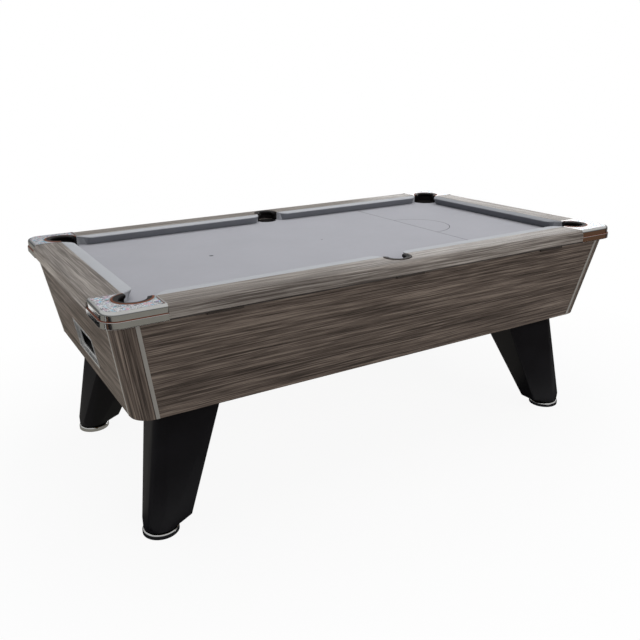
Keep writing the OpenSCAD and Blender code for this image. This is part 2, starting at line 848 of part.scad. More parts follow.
// How far the runs go past the corner pockets' centres
run_past = 39.5;
feed_past = 32.5;
run_low_x = trough_x + trough_w/2 + mouth_gap;
run_high_x = corner_at.x + run_past;
feed_low_x = trough_x - trough_w/2 - mouth_gap;
feed_high_x = -corner_at.x - feed_past;
feed_rise = 4;
feed_fall = 12;
feed_high = run_high + feed_rise;
feed_low = feed_high - feed_fall;
divider_t = 15;
divider_rise = 42;
divider_top = run_high + divider_rise;
// Places of the two free dividers
divider_in = 205;
divider_high_x = run_high_x - divider_in;
divider_mid_x = 120;
function run_floor(x) = run_low + (run_high - run_low)*(x - run_low_x)/(run_high_x - run_low_x);

// A channel between two places on its floor, along X
module channel(x_a, z_a, x_b, z_b, width, wall, depth) {
  for (side = [-1, 1]) translate([0, side*(width + wall)/2, 0]) rotate([90, 0, 0])
    linear_extrude(wall, center = true)
      polygon([[x_a, z_a - wall], [x_b, z_b - wall], [x_b, z_b + depth], [x_a, z_a + depth]]);
  rotate([90, 0, 0]) linear_extrude(width + wall, center = true)
    polygon([[x_a, z_a - wall], [x_b, z_b - wall], [x_b, z_b], [x_a, z_a]]);
}
module ball_run() {
  color(plywood) translate([0, run_y, 0]) {
    channel(run_low_x, run_low, run_high_x, run_high, run_w, run_t, run_h);
    translate([run_high_x - run_t, -run_w/2 - run_t/2, run_high - run_t])
      cube([run_t, run_w + run_t, run_h + run_t]);
    channel(feed_high_x, feed_high, feed_low_x, feed_low, run_w, run_t, run_h);
    translate([feed_high_x, -run_w/2 - run_t/2, feed_high - run_t])
      cube([run_t, run_w + run_t, run_h + run_t]);
  }
}
module ball_run_near() {
  mirror([0, 1, 0]) ball_run();
}
module ball_run_far() {
  ball_run();
}
module divider(x) {
  seat = run_floor(x - divider_t/2) - run_t - run_gap;
  reach = run_y - run_w/2 - run_t - run_gap;
  color(plywood) difference() {
    intersection() {
      translate([x - divider_t/2, -table_w, floor_z]) cube([divider_t, 2*table_w, divider_top - floor_z]);
      between_sides(panel_t);
    }
    for (side = [0, 1]) flip_y(side == 1) translate([x - divider_t, reach, seat])
      cube([2*divider_t, table_w, divider_top]);
  }
}
module cross_dividers() {
  for (x = [divider_high_x, divider_mid_x, trough_x + trough_w/2 + run_t + divider_t/2]) divider(x);
}
module run_cleats() {
  cleat_l = 26;
  cleat_h = 24;
  cleat_w = 48;
  y = run_y - run_w/2;
  long_z = run_floor(run_high_x - cleat_l) - run_t - run_gap;
  feed_z = feed_high - (feed_high - feed_low)*cleat_l/(feed_low_x - feed_high_x) - run_t - run_gap;
  color(plywood) for (side = [0, 1]) flip_y(side == 1) intersection() {
    between_ends(panel_t);
    union() {
      translate([run_high_x - cleat_l, y, long_z - cleat_h]) cube([4*cleat_l, cleat_w, cleat_h]);
      translate([feed_high_x - 3*cleat_l, y, feed_z - cleat_h]) cube([4*cleat_l, cleat_w, cleat_h]);
    }
  }
}
// A wall of the trough across the table, lower where the runs come over it
module trough_side(x, lip, notch) {
  top = trough_high + trough_wall;
  reach = run_y - run_w/2 - run_t - run_gap;
  translate([x, 0, 0]) rotate([90, 0, 90]) linear_extrude(run_t) difference() {
    polygon([[-trough_y, trough_high - run_t], [window_y, trough_low - run_t],
      [trough_y, trough_high - run_t], [trough_y, lip], [reach, lip], [reach, top], [-reach, top],
      [-reach, lip], [-trough_y, lip]]);
    if (notch) translate([window_y - gully_w/2, trough_low]) square([gully_w, trough_wall*2]);
  }
}
module collector_trough() {
  x = trough_x - trough_w/2;
  color(plywood) {
    translate([x, 0, 0]) rotate([90, 0, 90]) linear_extrude(trough_w)
      polygon([[-trough_y, trough_high - run_t], [window_y, trough_low - run_t],
        [trough_y, trough_high - run_t], [trough_y, trough_high], [window_y, trough_low],
        [-trough_y, trough_high]]);
    trough_side(x - run_t, feed_low - run_t - run_gap, true);
    trough_side(x + trough_w, run_low - run_t - run_gap, false);
    for (side = [0, 1]) flip_y(side == 1) translate([x, trough_y - run_t, trough_high - run_t])
      cube([trough_w, run_t, trough_wall + run_t]);
  }
}

/* Storage gully, ball gate and return tray */
gully_start = trough_x - trough_w/2 - run_t;
gully_in = 125;
gully_end = gully_in - foot_x;
gully_step = 2;
gully_high = trough_low - gully_step;
gully_low = gully_high - gully_fall;
gully_wall = 32;
gate_gap = 6;
ear_reach = 14;
gate_x = gully_end - gate_gap;
gate_y = window_y + gully_w/2 + run_t + ear_reach;
ear_w = 20;
ear_t = 4;
lever_rise = 40;
lever_z = gully_low + lever_rise;
mech_x = gate_x + lever_l;
module storage_gully() {
  bearer_l = 20;
  ear_low = 2;
  ear_high = 28;
  ear_z = [gully_low - ear_low, gully_low + ear_high];
  color(steel) {
    translate([0, window_y, 0])
      channel(gully_end, gully_low, gully_start, gully_high, gully_w, run_t, gully_wall);
    translate([tray_back - bearer_l, tray_y_low, tray_top])
      cube([bearer_l, tray_y_high - tray_y_low, gully_low - tray_top]);
    difference() {
      for (z = ear_z) translate([gate_x - ear_w/2, gate_y - ear_reach - over, z])
        cube([ear_w*2, ear_reach + over + ear_w/2, ear_t]);
      translate([gate_x, gate_y, gully_low - ear_w])
        cylinder(r = gate_shaft_r + pin_gap, h = 4*ear_w);
    }
  }
}
module ball_gate() {
  gate_t = 3;
  gate_h = 20;
  lever_w = 22;
  lever_past = 29;
  lever_end = lever_l + lever_past;
  lever_t = 4;
  slot_r = 6.3;
  slot_l = 29;
  slot_back = 5;
  shaft_past = 4;
  gate_rise = 5;
  color(steel) {
    translate([gate_x, gate_y, gully_low - shaft_past])
      cylinder(r = gate_shaft_r, h = lever_z - gully_low + shaft_past + lever_t);
    translate([gate_x - gate_t/2, window_y - gully_w/2, gully_low + gate_rise])
      cube([gate_t, gate_y - window_y + gully_w/2, gate_h]);
    difference() {
      hull() {
        translate([gate_x, gate_y, lever_z]) cylinder(r = lever_w/2, h = lever_t, $fn = 32);
        translate([gate_x + lever_end - lever_w/2, gate_y, lever_z])
          cylinder(r = lever_w/2, h = lever_t, $fn = 32);
      }
      translate([gate_x + lever_l - slot_back, gate_y - slot_r, lever_z - over])
        cube([slot_l, 2*slot_r, lever_t + 2*over]);
    }
  }
}
tray_front = -half_l(window_z - window_h/2) + window_d + run_gap;
tray_in = 242;
tray_back = tray_in - foot_x;
// How far the tray's sides stand in from the window's frame
tray_side = 5;
tray_y_low = window_y - window_w/2 + tray_side;
tray_y_high = window_y + window_w/2 - tray_side;
tray_drop = 49;
tray_floor = window_z - tray_drop;
tray_rise = 8;
gully_seat = 18;
tray_top = gully_low - gully_seat;
module return_tray() {
  length = tray_back - tray_front;
  width = tray_y_high - tray_y_low;
  bearer_w = 24;
  color(plywood) {
    translate([0, tray_y_low, 0]) rotate([90, 0, 0]) mirror([0, 0, 1]) linear_extrude(width)
      polygon([[tray_front, tray_floor - run_t], [tray_back, tray_floor - run_t],
        [tray_back, tray_floor + tray_rise], [tray_front, tray_floor]]);
    for (y = [tray_y_low, tray_y_high - run_t]) translate([tray_front, y, tray_floor - run_t])
      cube([length, run_t, tray_top - tray_floor + run_t]);
    translate([tray_back - run_t, tray_y_low, tray_floor - run_t])
      cube([run_t, width, tray_top - tray_floor + run_t]);
    for (x = [tray_front + bearer_w, tray_back - 2*bearer_w]) translate([x, tray_y_low, floor_z])
      cube([bearer_w, width, tray_floor - run_t - floor_z]);
  }
}
window_lap = 4;
module return_frame() {
  flange_t = 2;
  sheet = 3;
  step = 5;
  step_d = 12;
  high = window_h - 2*window_lap;
  wide = window_w - 2*window_lap;
  color(chrome) on_return_panel(window_y, window_z) difference() {
    union() {
      translate([0, 0, fit_gap]) linear_extrude(flange_t) square([window_h, window_w], center = true);
      translate([0, 0, -step_d]) linear_extrude(step_d + over) square([high, wide], center = true);
      translate([0, 0, -window_d]) linear_extrude(window_d)
        square([high - 2*step, wide - 2*step], center = true);
    }
    translate([0, 0, sheet - step_d]) linear_extrude(step_d + flange_t + over)
      square([high - 2*sheet, wide - 2*sheet], center = true);
    translate([0, 0, -window_d - over]) linear_extrude(window_d + flange_t + 2*over)
      square([high - 2*step - 2*sheet, wide - 2*step - 2*sheet], center = true);
  }
}

/* Coin mechanism and cash box, in one steel plate on the far panel */
slide_z = lever_z + slide_rise;
plate_drop = 38;
plate_z = slide_z - plate_drop;
plate_lap = 8;
mech_w = 190;
mech_h = 270;
plate_t = 2.5;
recess_w = 112;
recess_h = 36;
recess_in = 1;
recess_y = foot_y - recess_in;
sheet_t = 2;
door_w = 140;
door_h = 92;
door_y = -78;
door_t = 3;
slide_w = 56;
slide_t = 4;
door_hinge_r = 3.5;
door_pin_r = 1.8;
module coin_mech_plate() {
  recess_z = slide_z - recess_h/2;
  guide_l = 56;
  guide_t = 3;
  color(steel) difference() {
    union() {
      on_far_panel(mech_x, plate_z) difference() {
        translate([0, 0, fit_gap]) linear_extrude(plate_t) square([mech_w, mech_h], center = true);
        translate([0, door_y, -over]) linear_extrude(plate_t + 3*over)
          square([door_w + 2*run_gap, door_h + 2*run_gap], center = true);
      }
      intersection() {
        translate([mech_x - recess_w/2 - sheet_t, recess_y - sheet_t, recess_z - sheet_t])
          cube([recess_w + 2*sheet_t, 2*recess_h + recess_w, recess_h + 2*sheet_t]);
        between_sides(-plate_t, cab_low, cab_high);
      }
      translate([mech_x - slide_w/2 - guide_t - run_gap, recess_y - guide_l,
        slide_z - slide_t/2 - guide_t - run_gap])
        cube([slide_w + 2*guide_t + 2*run_gap, guide_l, slide_t + 2*guide_t + 2*run_gap]);
      on_far_panel(mech_x, plate_z) door_hinge_ends();
    }
    translate([mech_x - recess_w/2, recess_y, recess_z]) cube([recess_w, table_w, recess_h]);
    translate([mech_x - slide_w/2 - run_gap, recess_y - 2*guide_l, slide_z - slide_t/2 - run_gap])
      cube([slide_w + 2*run_gap, 3*guide_l, slide_t + 2*run_gap]);
  }
}
// The cash door's hinge on its left edge: the end knuckles with the pin, and the door's middle one
door_hinge_l = 60;
door_knuckle = door_hinge_l/3;
door_axis = [-door_w/2 - run_gap, door_y, door_t + door_hinge_r + run_gap];
module door_hinge_ends() {
  translate(door_axis) {
    for (side = [-1, 1]) translate([0, side*door_knuckle, 0]) {
      rotate([90, 0, 0]) cylinder(r = door_hinge_r, h = door_knuckle - run_gap, center = true);
      translate([-2*door_hinge_r, (run_gap - door_knuckle)/2, plate_t/2 - door_axis.z])
        cube([2*door_hinge_r, door_knuckle - run_gap, door_hinge_r]);
    }
    rotate([90, 0, 0]) cylinder(r = door_pin_r, h = door_hinge_l, center = true);
  }
}
module door_hinge_middle() {
  translate(door_axis) difference() {
    union() {
      rotate([90, 0, 0]) cylinder(r = door_hinge_r, h = door_knuckle - run_gap, center = true);
      translate([run_gap, (run_gap - door_knuckle)/2, door_t/2 - door_axis.z])
        cube([2*door_hinge_r, door_knuckle - run_gap, door_hinge_r]);
    }
    rotate([90, 0, 0]) cylinder(r = door_pin_r + pin_gap, h = door_hinge_l, center = true);
  }
}
door_lock_x = door_w/2 - 24;
door_lock_depth = 8;
door_cam = 32;
module cash_door() {
  color(steel) on_far_panel(mech_x, plate_z) difference() {
    union() {
      translate([0, door_y, 0]) linear_extrude(door_t) square([door_w, door_h], center = true);
      door_hinge_middle();
      translate([door_lock_x, door_y, -door_lock_depth]) cylinder(r = barrel_r, h = door_lock_depth);
    }
    translate([door_lock_x, door_y, -door_lock_depth - over])
      cylinder(r = lock_r + pin_gap, h = 3*door_lock_depth);
    translate(door_axis) rotate([90, 0, 0])
      cylinder(r = door_pin_r + pin_gap, h = door_knuckle, center = true);
  }
}
module cash_lock() {
  color(steel) on_far_panel(mech_x, plate_z) translate([door_lock_x, door_y, 0]) {
    translate([0, 0, -door_lock_depth - over]) cylinder(r = lock_r, h = door_lock_depth + door_t + 2*over);
    translate([-cam_w/2, 0, -door_lock_depth - over - cam_t]) cube([cam_w, door_cam, cam_t]);
    translate([0, 0, -door_lock_depth - over - cam_t]) cylinder(r = cam_w/2 + over, h = cam_t + over/2);
  }
}
box_l = 130;
box_w = 170;
box_h = 76;
box_in = 29;
box_lift = 24;
// The box's left side clears the leg bolt beside it
box_side = 13.5;
box_left = -leg_at.x - leg_bolt_dx - box_side;
box_x = [box_left, box_left + box_l];
box_y = [foot_y - box_in - box_w, foot_y - box_in];
box_z = [floor_z + box_lift, floor_z + box_lift + box_h];
module cash_box() {
  wall = 1.5;
  color(steel) difference() {
    translate([box_x[0], box_y[0], box_z[0]])
      cube([box_x[1] - box_x[0], box_y[1] - box_y[0], box_z[1] - box_z[0]]);
    translate([box_x[0] + wall, box_y[0] + wall, box_z[0] + wall])
      cube([box_x[1] - box_x[0] - 2*wall, box_y[1] - box_y[0] - 2*wall, box_z[1]]);
  }
}
module cash_partition() {
  board = 12;
  partition_in = 130;
  partition_rise = 40;
  shelf_past = 5;
  partition_y = box_y[0] - partition_in;
  partition_top = slide_z + partition_rise;
  shelf_y = [partition_y, box_y[1] + shelf_past];
  shelf_t = 4;
  color(plywood) difference() {
    union() {
      intersection() {
        translate([-table_l, partition_y, floor_z])
          cube([table_l + gully_start, board, partition_top - floor_z]);
        between_ends(panel_t + fit_gap);
      }
      for (x = [box_x[0] - over - board, box_x[1] + over]) translate([x, shelf_y[0], floor_z])
        cube([board, shelf_y[1] - shelf_y[0], box_z[0] - floor_z + board]);
      translate([box_x[0] - board, shelf_y[0], box_z[0] - shelf_t])
        cube([box_x[1] - box_x[0] + 2*board, shelf_y[1] - shelf_y[0], shelf_t]);
    }
    translate([mech_x - rod_w/2 - over, partition_y - over, slide_z - rod_h/2 - over])
      cube([rod_w + 2*over, board + 2*over, rod_h + 2*over]);
  }
}
rod_w = 12;
rod_h = 6;
module coin_slide() {
  head_l = 18;
  head_h = 20;
  head_w = 60;
  head_y = recess_y + slide_travel + run_gap;
  coin_r = 12.5;
  coin_t = 3;
  rod_past = 10;
  slide_back = 66;
  rod_end = gate_y - rod_past;
  slide_in = recess_y - slide_back;
  pin_r = 3;
  color(chrome) {
    difference() {
      translate([mech_x - slide_w/2, slide_in, slide_z - slide_t/2])
        cube([slide_w, head_y - slide_in + over, slide_t]);
      for (dx = [-coin_r, coin_r]*1.08)
        translate([mech_x + dx, head_y - 2*coin_r, slide_z + slide_t/2 - coin_t])
          cylinder(r = coin_r, h = coin_t + over);
    }
    intersection() {
      translate([mech_x - head_w/2, head_y, slide_z - head_h/2]) cube([head_w, head_l, head_h]);
      translate([mech_x, head_y + head_l - head_w, slide_z - head_h]) cylinder(r = head_w, h = 2*head_h);
    }
    translate([mech_x - rod_w/2, rod_end, slide_z - rod_h/2])
      cube([rod_w, slide_in - rod_end + over, rod_h]);
    translate([mech_x, gate_y, lever_z - over]) cylinder(r = pin_r, h = slide_z - lever_z);
  }
}

/* Legs and feet */
foot_in_x = 58;
foot_in_y = 43;
leg_foot = leg_head + [leg_splay_x, leg_splay_y];
foot_at = leg_foot - [foot_in_x, foot_in_y];
foot_gap = 2;
leg_clear = foot_h + foot_gap;
stem_top = 90;
// One level of a leg: a rounded plate between its inner and outer corners
module leg_level(z, inner, outer, inner_r, outer_r) {
  slice = 1;
  for (x = [inner.x + inner_r, outer.x - outer_r]) for (y = [inner.y + inner_r, outer.y - outer_r]) {
    corner = x == outer.x - outer_r && y == outer.y - outer_r;
    translate([corner ? x : max(x, inner.x + inner_r), y, z])
      cylinder(r = corner ? outer_r : inner_r, h = slice, $fn = 32);
  }
}
module leg() {
  head_in = leg_head - [leg_head_l, leg_head_w];
  waist_rise = 22;
  ankle_rise = 24;
  head_r = [8, 34];
  waist_r = [12, 15];
  ankle_r = 57;
  ankle_in = [4, 2];
  sole_r = 58;
  waist_z = leg_clear + waist_rise;
  ankle_z = leg_clear + ankle_rise;
  drop = (cab_low - waist_z)/(cab_low - leg_clear);
  waist_out = leg_head + (leg_foot - leg_head)*drop;
  waist_in = leg_foot - [leg_foot_l, leg_foot_w];
  color(black_satin) difference() {
    hull() {
      leg_level(cab_low - 1, head_in, leg_head, head_r[0], head_r[1]);
      leg_level(waist_z, waist_in, waist_out, waist_r[0], waist_r[1]);
      translate([foot_at.x - ankle_in.x, foot_at.y - ankle_in.y, ankle_z])
        cylinder(r = ankle_r, h = 1, $fn = 48);
      translate([foot_at.x, foot_at.y, leg_clear]) cylinder(r = sole_r, h = 1, $fn = 48);
    }
    translate([foot_at.x, foot_at.y, leg_clear - over])
      cylinder(r = stem_r + run_gap, h = stem_top - leg_clear + 2*over);
    at_leg_bolts() translate([0, 0, cab_low - leg_bolt_depth])
      cylinder(r = leg_bolt_r + run_gap, h = leg_bolt_depth + over);
  }
}
module leg_near_left() {
  at_corner(-1, -1) leg();
}
module leg_near_right() {
  at_corner(1, -1) leg();
}
module leg_far_left() {
  at_corner(-1, 1) leg();
}
module leg_far_right() {
  at_corner(1, 1) leg();
}
module leg_bolts() {
  washer_r = 12;
  washer_t = 2;
  head_r = 10;
  head_h = 7;
  color(steel) four() at_leg_bolts() translate([0, 0, floor_z]) {
    cylinder(r = washer_r, h = washer_t);
    cylinder(r = head_r, h = washer_t + head_h, $fn = 6);
    translate([0, 0, washer_t - board_t - leg_bolt_depth])
      cylinder(r = leg_bolt_r, h = board_t + leg_bolt_depth);
  }
}
module foot() {
  base = 6;
  collar_r = 14;
  color(chrome) translate(foot_at) rotate_extrude()
    polygon(concat([[0, 0]], fillet([0, 0], [foot_r, 0], [foot_r, base], 1.5, 3),
      fillet([foot_r, 0], [foot_r, foot_h - 4], [collar_r, foot_h], 7, 6),
      [[collar_r, foot_h], [collar_r, leg_clear - run_gap], [stem_r, leg_clear - run_gap],
      [stem_r, stem_top - foot_travel], [0, stem_top - foot_travel]]));
}
module foot_near_left() {
  at_corner(-1, -1) foot();
}
module foot_near_right() {
  at_corner(1, -1) foot();
}
module foot_far_left() {
  at_corner(-1, 1) foot();
}
module foot_far_right() {
  at_corner(1, 1) foot();
}

/* Prop stay at the baulk end, which rises as the top is opened */
stay_in = 14;
stay_out = 300;
stay_drop = 86.5;
stay_x = frame_x - stay_in;
stay_y = hinge_y + stay_out;
stay_z = hinge_z - stay_drop;
stay_angle = 1.8*open_angle;
stay_eye_r = 14;
stay_pin_r = 5;
// The stay's length brings its tip to the frame's underside when the top is fully open
stay_l = (frame_low - hinge_z - stay_r - run_gap + (stay_y - hinge_y)*sin(open_angle)
  - (stay_z - hinge_z)*cos(open_angle))/sin(stay_angle - open_angle);
module prop_stay() {
  eye_t = 2*stay_r;
  color(steel) translate([stay_x, stay_y, stay_z]) {
    difference() {
      union() {
        translate([-eye_t/2, 0, 0]) rotate([0, 90, 0]) cylinder(r = stay_eye_r, h = eye_t);
        rotate([-90, 0, 0]) cylinder(r = stay_r, h = stay_l);
      }
      translate([-eye_t, 0, 0]) rotate([0, 90, 0]) cylinder(r = stay_pin_r + pin_gap, h = 2*eye_t);
    }
    translate([0, stay_l, 0]) sphere(r = stay_r);
  }
}
module stay_bracket() {
  block = 40;
  eye_half = stay_r + run_gap;
  cap_r = 9;
  cap_t = 3;
  color(steel) {
    intersection() {
      translate([stay_x + eye_half, stay_y - block/2, stay_z - block/2]) cube([3*block, block, block]);
      between_ends(panel_t);
    }
    translate([stay_x - eye_half - cap_t, stay_y, stay_z]) rotate([0, 90, 0]) {
      cylinder(r = stay_pin_r, h = 2*eye_half + cap_t + over);
      cylinder(r = cap_r, h = cap_t);
    }
  }
}

slate();
bed_cloth();
top_rail_near();
top_rail_far();
top_rail_return_end();
top_rail_baulk_end();
casting_near_left();
casting_near_right();
casting_far_left();
casting_far_right();
casting_inlays();
corner_pocket_liners();
middle_pocket_liners();
cushion_near_left();
cushion_near_right();
cushion_far_left();
cushion_far_right();
cushion_return_end();
cushion_baulk_end();
top_frame();
rail_bolts();
hinge_top_leaves();
lock_keeps();
side_panel_near();
side_panel_far();
end_panel_return();
end_panel_baulk();
corner_posts();
edging_strips();
bottom_board();
cross_dividers();
ball_run_near();
ball_run_far();
collector_trough();
storage_gully();
run_cleats();
return_tray();
return_frame();
coin_mech_plate();
cash_partition();
cash_box();
hinge_body_leaves();
lock_barrels();
leg_near_left();
leg_near_right();
leg_far_left();
leg_far_right();
leg_bolts();
stay_bracket();
prop_stay();
coin_slide();
ball_gate();
cash_door();
cash_lock();
top_lock_left();
top_lock_right();
foot_near_left();
foot_near_right();
foot_far_left();
foot_far_right();
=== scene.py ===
"""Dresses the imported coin-operated pool table: finishes, cloth, cushions, pocket lips, legs and the view."""

import logging
import math
from dataclasses import dataclass, field
from enum import Enum
from typing import Any, Callable, Iterable, Sequence, Union

import bpy
import numpy as np
from mathutils import Matrix, Vector


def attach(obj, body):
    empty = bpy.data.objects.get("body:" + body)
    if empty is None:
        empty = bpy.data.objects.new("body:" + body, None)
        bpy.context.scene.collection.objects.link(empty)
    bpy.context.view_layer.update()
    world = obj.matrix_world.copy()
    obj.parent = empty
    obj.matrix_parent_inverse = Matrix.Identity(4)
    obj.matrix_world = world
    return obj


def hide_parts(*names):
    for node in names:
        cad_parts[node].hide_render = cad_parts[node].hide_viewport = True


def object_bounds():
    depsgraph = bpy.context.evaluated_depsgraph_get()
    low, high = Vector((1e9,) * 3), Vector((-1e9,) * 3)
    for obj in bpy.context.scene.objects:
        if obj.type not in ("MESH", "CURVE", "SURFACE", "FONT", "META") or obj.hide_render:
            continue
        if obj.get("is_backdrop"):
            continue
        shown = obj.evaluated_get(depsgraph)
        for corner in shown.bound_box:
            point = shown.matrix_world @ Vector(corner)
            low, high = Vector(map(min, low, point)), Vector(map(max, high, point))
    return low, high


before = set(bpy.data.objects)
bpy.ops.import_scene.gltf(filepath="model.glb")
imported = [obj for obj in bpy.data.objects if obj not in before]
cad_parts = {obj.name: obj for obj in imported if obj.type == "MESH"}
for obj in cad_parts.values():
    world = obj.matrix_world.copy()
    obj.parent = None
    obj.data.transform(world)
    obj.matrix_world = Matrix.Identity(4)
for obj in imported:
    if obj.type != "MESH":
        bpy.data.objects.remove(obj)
log = logging.getLogger("pool_table")

Number = Union[int, float]
Pair = tuple[float, float]
Triple = tuple[float, float, float]
Colour = Triple
Stops = tuple[tuple[float, Colour], ...]
Part = tuple[np.ndarray, list]
MM = 0.001
CLOSE = 1e-6
QUARTERS = tuple(
    (f"{y_name}_{x_name}", x_side, y_side)
    for x_name, x_side in (("left", -1), ("right", 1))
    for y_name, y_side in (("near", -1), ("far", 1))
)


def srgb(red: int, green: int, blue: int) -> Colour:
    """The scene-linear colour of three 0 to 255 display values."""
    parts = [v / 255 for v in (red, green, blue)]
    return tuple(v / 12.92 if v <= 0.04045 else ((v + 0.055) / 1.055) ** 2.4 for v in parts)


def shade(colour: Colour, factor: float) -> Colour:
    """A colour made darker or lighter, held at full brightness."""
    return tuple(min(1.0, c * factor) for c in colour)


# Shader maths


def operator(kind: str, swapped: bool = False) -> Callable[..., "Value"]:
    """A method that joins values in one Math node.

    Args:
        kind: the node's operation.
        swapped: whether the values go in last to first, as a reflected operator's do.

    Returns:
        The method.
    """

    def method(self: "Value", *others: Union["Value", Number]) -> "Value":
        """The node's result."""
        inputs = dict(enumerate((*others, self) if swapped else (self, *others)))
        return Value(self.nodes, self.nodes.node("ShaderNodeMath", inputs, operation=kind).outputs[0])

    return method


class Value:
    """A number that varies over a surface, with the usual operators."""

    def __init__(self, nodes: "Nodes", socket: bpy.types.NodeSocket) -> None:
        """Keeps the nodes and the output socket that carries the number."""
        self.nodes = nodes
        self.socket = socket

    __add__, __radd__ = operator("ADD"), operator("ADD", swapped=True)
    __sub__, __rsub__ = operator("SUBTRACT"), operator("SUBTRACT", swapped=True)
    __mul__, __abs__ = operator("MULTIPLY"), operator("ABSOLUTE")
    __gt__, __lt__ = operator("GREATER_THAN"), operator("LESS_THAN")
    larger, root = operator("MAXIMUM"), operator("SQRT")

    def clamped(self) -> "Value":
        """The value held from 0 to 1."""
        node = self.nodes.node("ShaderNodeMath", {0: self, 1: 0.0}, operation="ADD", use_clamp=True)
        return Value(self.nodes, node.outputs[0])

    def ramp(self, low: float, high: float) -> "Value":
        """Zero at low and one at high, straight between them and held outside."""
        return ((self - low) * (1.0 / (high - low))).clamped()


Input = Union[Value, bpy.types.NodeSocket, Number, Sequence[float]]
Inputs = dict[Union[int, str], Input]


class Grain(Enum):
    """The way that a board's grain or a metal's brushing runs, as axes with that one first."""

    ALONG_X = "xyz"
    ALONG_Y = "yxz"
    UPRIGHT = "zxy"


class Nodes:
    """The nodes of one material or world."""

    mix_inputs = (0, 6, 7)
    mix_output = 2

    def __init__(self, tree: bpy.types.NodeTree) -> None:
        """Empties the tree and reads the place that is shaded.

        Args:
            tree: the material's or the world's tree.
        """
        self.tree = tree
        tree.nodes.clear()
        self.place = self.node("ShaderNodeTexCoord").outputs["Object"]
        split = self.node("ShaderNodeSeparateXYZ", {0: self.place})
        self.x, self.y, self.z = (Value(self, s) for s in split.outputs)

    def feed(self, socket: bpy.types.NodeSocket, value: Input) -> None:
        """Links a value to a socket, or writes a plain number or colour there."""
        value = value.socket if isinstance(value, Value) else value
        if isinstance(value, bpy.types.NodeSocket):
            self.tree.links.new(value, socket)
        else:
            socket.default_value = (*value[:3], 1.0) if socket.type == "RGBA" else value

    def node(self, kind: str, inputs: Union[Inputs, None] = None, **settings: Any) -> bpy.types.Node:
        """Adds one node.

        Args:
            kind: the node's type.
            inputs: a value or a link for each named or numbered socket.
            settings: its properties, set before the inputs.

        Returns:
            The node.
        """
        node = self.tree.nodes.new(kind)
        for key, value in settings.items():
            setattr(node, key, value)
        for key, value in (inputs or {}).items():
            self.feed(node.inputs[key], value)
        return node

    def axes(self, grain: Grain) -> tuple[Value, ...]:
        """The place's three parts with the grain's first."""
        return tuple(getattr(self, axis) for axis in grain.value)

    def noise(
        self,
        lumps: Union[float, tuple[float, ...]],
        detail: float = 3.0,
        rough: float = 0.55,
        bend: float = 0.0,
        axes: Sequence[Value] = (),
    ) -> Value:
        """Soft noise from about 0.2 to 0.8.

        Args:
            lumps: how many lumps there are to a metre, as one number or one for each axis, where
                the last of them also serves the axes that are left.
            detail: how many finer layers are added.
            rough: how strong the finer layers are.
            bend: how far the noise distorts itself.
            axes: the three axes, if they aren't X, Y and Z.

        Returns:
            The noise.
        """
        where, scale = self.place, lumps
        if isinstance(lumps, tuple):
            scaled = [a * n for a, n in zip(axes or (self.x, self.y, self.z), (*lumps, lumps[-1]))]
            where, scale = self.node("ShaderNodeCombineXYZ", dict(enumerate(scaled))).outputs[0], 1.0
        inputs = {"Vector": where, "Scale": scale, "Detail": detail, "Roughness": rough, "Distortion": bend}
        return Value(self, self.node("ShaderNodeTexNoise", inputs).outputs[0])

    def cells(self, scale: float, output: str) -> bpy.types.NodeSocket:
        """A cell pattern's "Distance" or "Color" at the place that is shaded."""
        return self.node("ShaderNodeTexVoronoi", {"Vector": self.place, "Scale": scale}).outputs[output]

    def cell_tints(self, scale: float) -> tuple[Value, ...]:
        """Three numbers from 0 to 1 that each cell of a pattern has for itself."""
        split = self.node("ShaderNodeSeparateColor", {0: self.cells(scale, "Color")})
        return tuple(Value(self, s) for s in split.outputs[:3])

    def mix(self, factor: Input, first: Input, second: Input) -> bpy.types.NodeSocket:
        """A colour that goes from first to second as factor goes from 0 to 1."""
        inputs = dict(zip(self.mix_inputs, (factor, first, second)))
        return self.node("ShaderNodeMix", inputs, data_type="RGBA").outputs[self.mix_output]

    def ramp(self, value: Value, stops: Stops) -> bpy.types.NodeSocket:
        """A ramp of colours.

        Args:
            value: where the ramp is read.
            stops: its places and their colours.

        Returns:
            The colour there.
        """
        node = self.node("ShaderNodeValToRGB", {0: value})
        elements = node.color_ramp.elements
        while len(elements) < len(stops):
            elements.new(0.5)
        for element, (position, colour) in zip(elements, stops):
            element.position = position
            element.color = (*colour, 1.0)
        return node.outputs[0]

    def blend(self, factor: Input, first: bpy.types.Node, second: bpy.types.Node) -> bpy.types.Node:
        """One shader that goes to another as factor goes from 0 to 1."""
        return self.node("ShaderNodeMixShader", {0: factor, 1: first.outputs[0], 2: second.outputs[0]})

    def ray(self, kind: str) -> Value:
        """One on rays of a kind."""
        return Value(self, self.node("ShaderNodeLightPath").outputs[kind])


class Graph(Nodes):
    """The nodes of one material around its Principled shader."""

    def __init__(self, name: str) -> None:
        """Makes a material.

        Args:
            name: its name.
        """
        self.material = bpy.data.materials.new(name)
        self.material.use_nodes = True
        super().__init__(self.material.node_tree)
        self.shader = self.node("ShaderNodeBsdfPrincipled")
        self.output = self.node("ShaderNodeOutputMaterial", {0: self.shader.outputs[0]})

    def surface(self, bump: Union[Value, None] = None, depth: float = 0.0, **inputs: Input) -> None:
        """Feeds the shader.

        Args:
            bump: a height from 0 to 1, or None.
            depth: the height's size in metres.
            inputs: values for the shader's sockets, with underscores for spaces.
        """
        for key, value in inputs.items():
            self.feed(self.shader.inputs[key.replace("_", " ")], value)
        if bump is not None:
            node = self.node("ShaderNodeBump", {"Height": bump, "Distance": depth, "Strength": 1.0})
            self.feed(self.shader.inputs["Normal"], node.outputs[0])


# Finishes


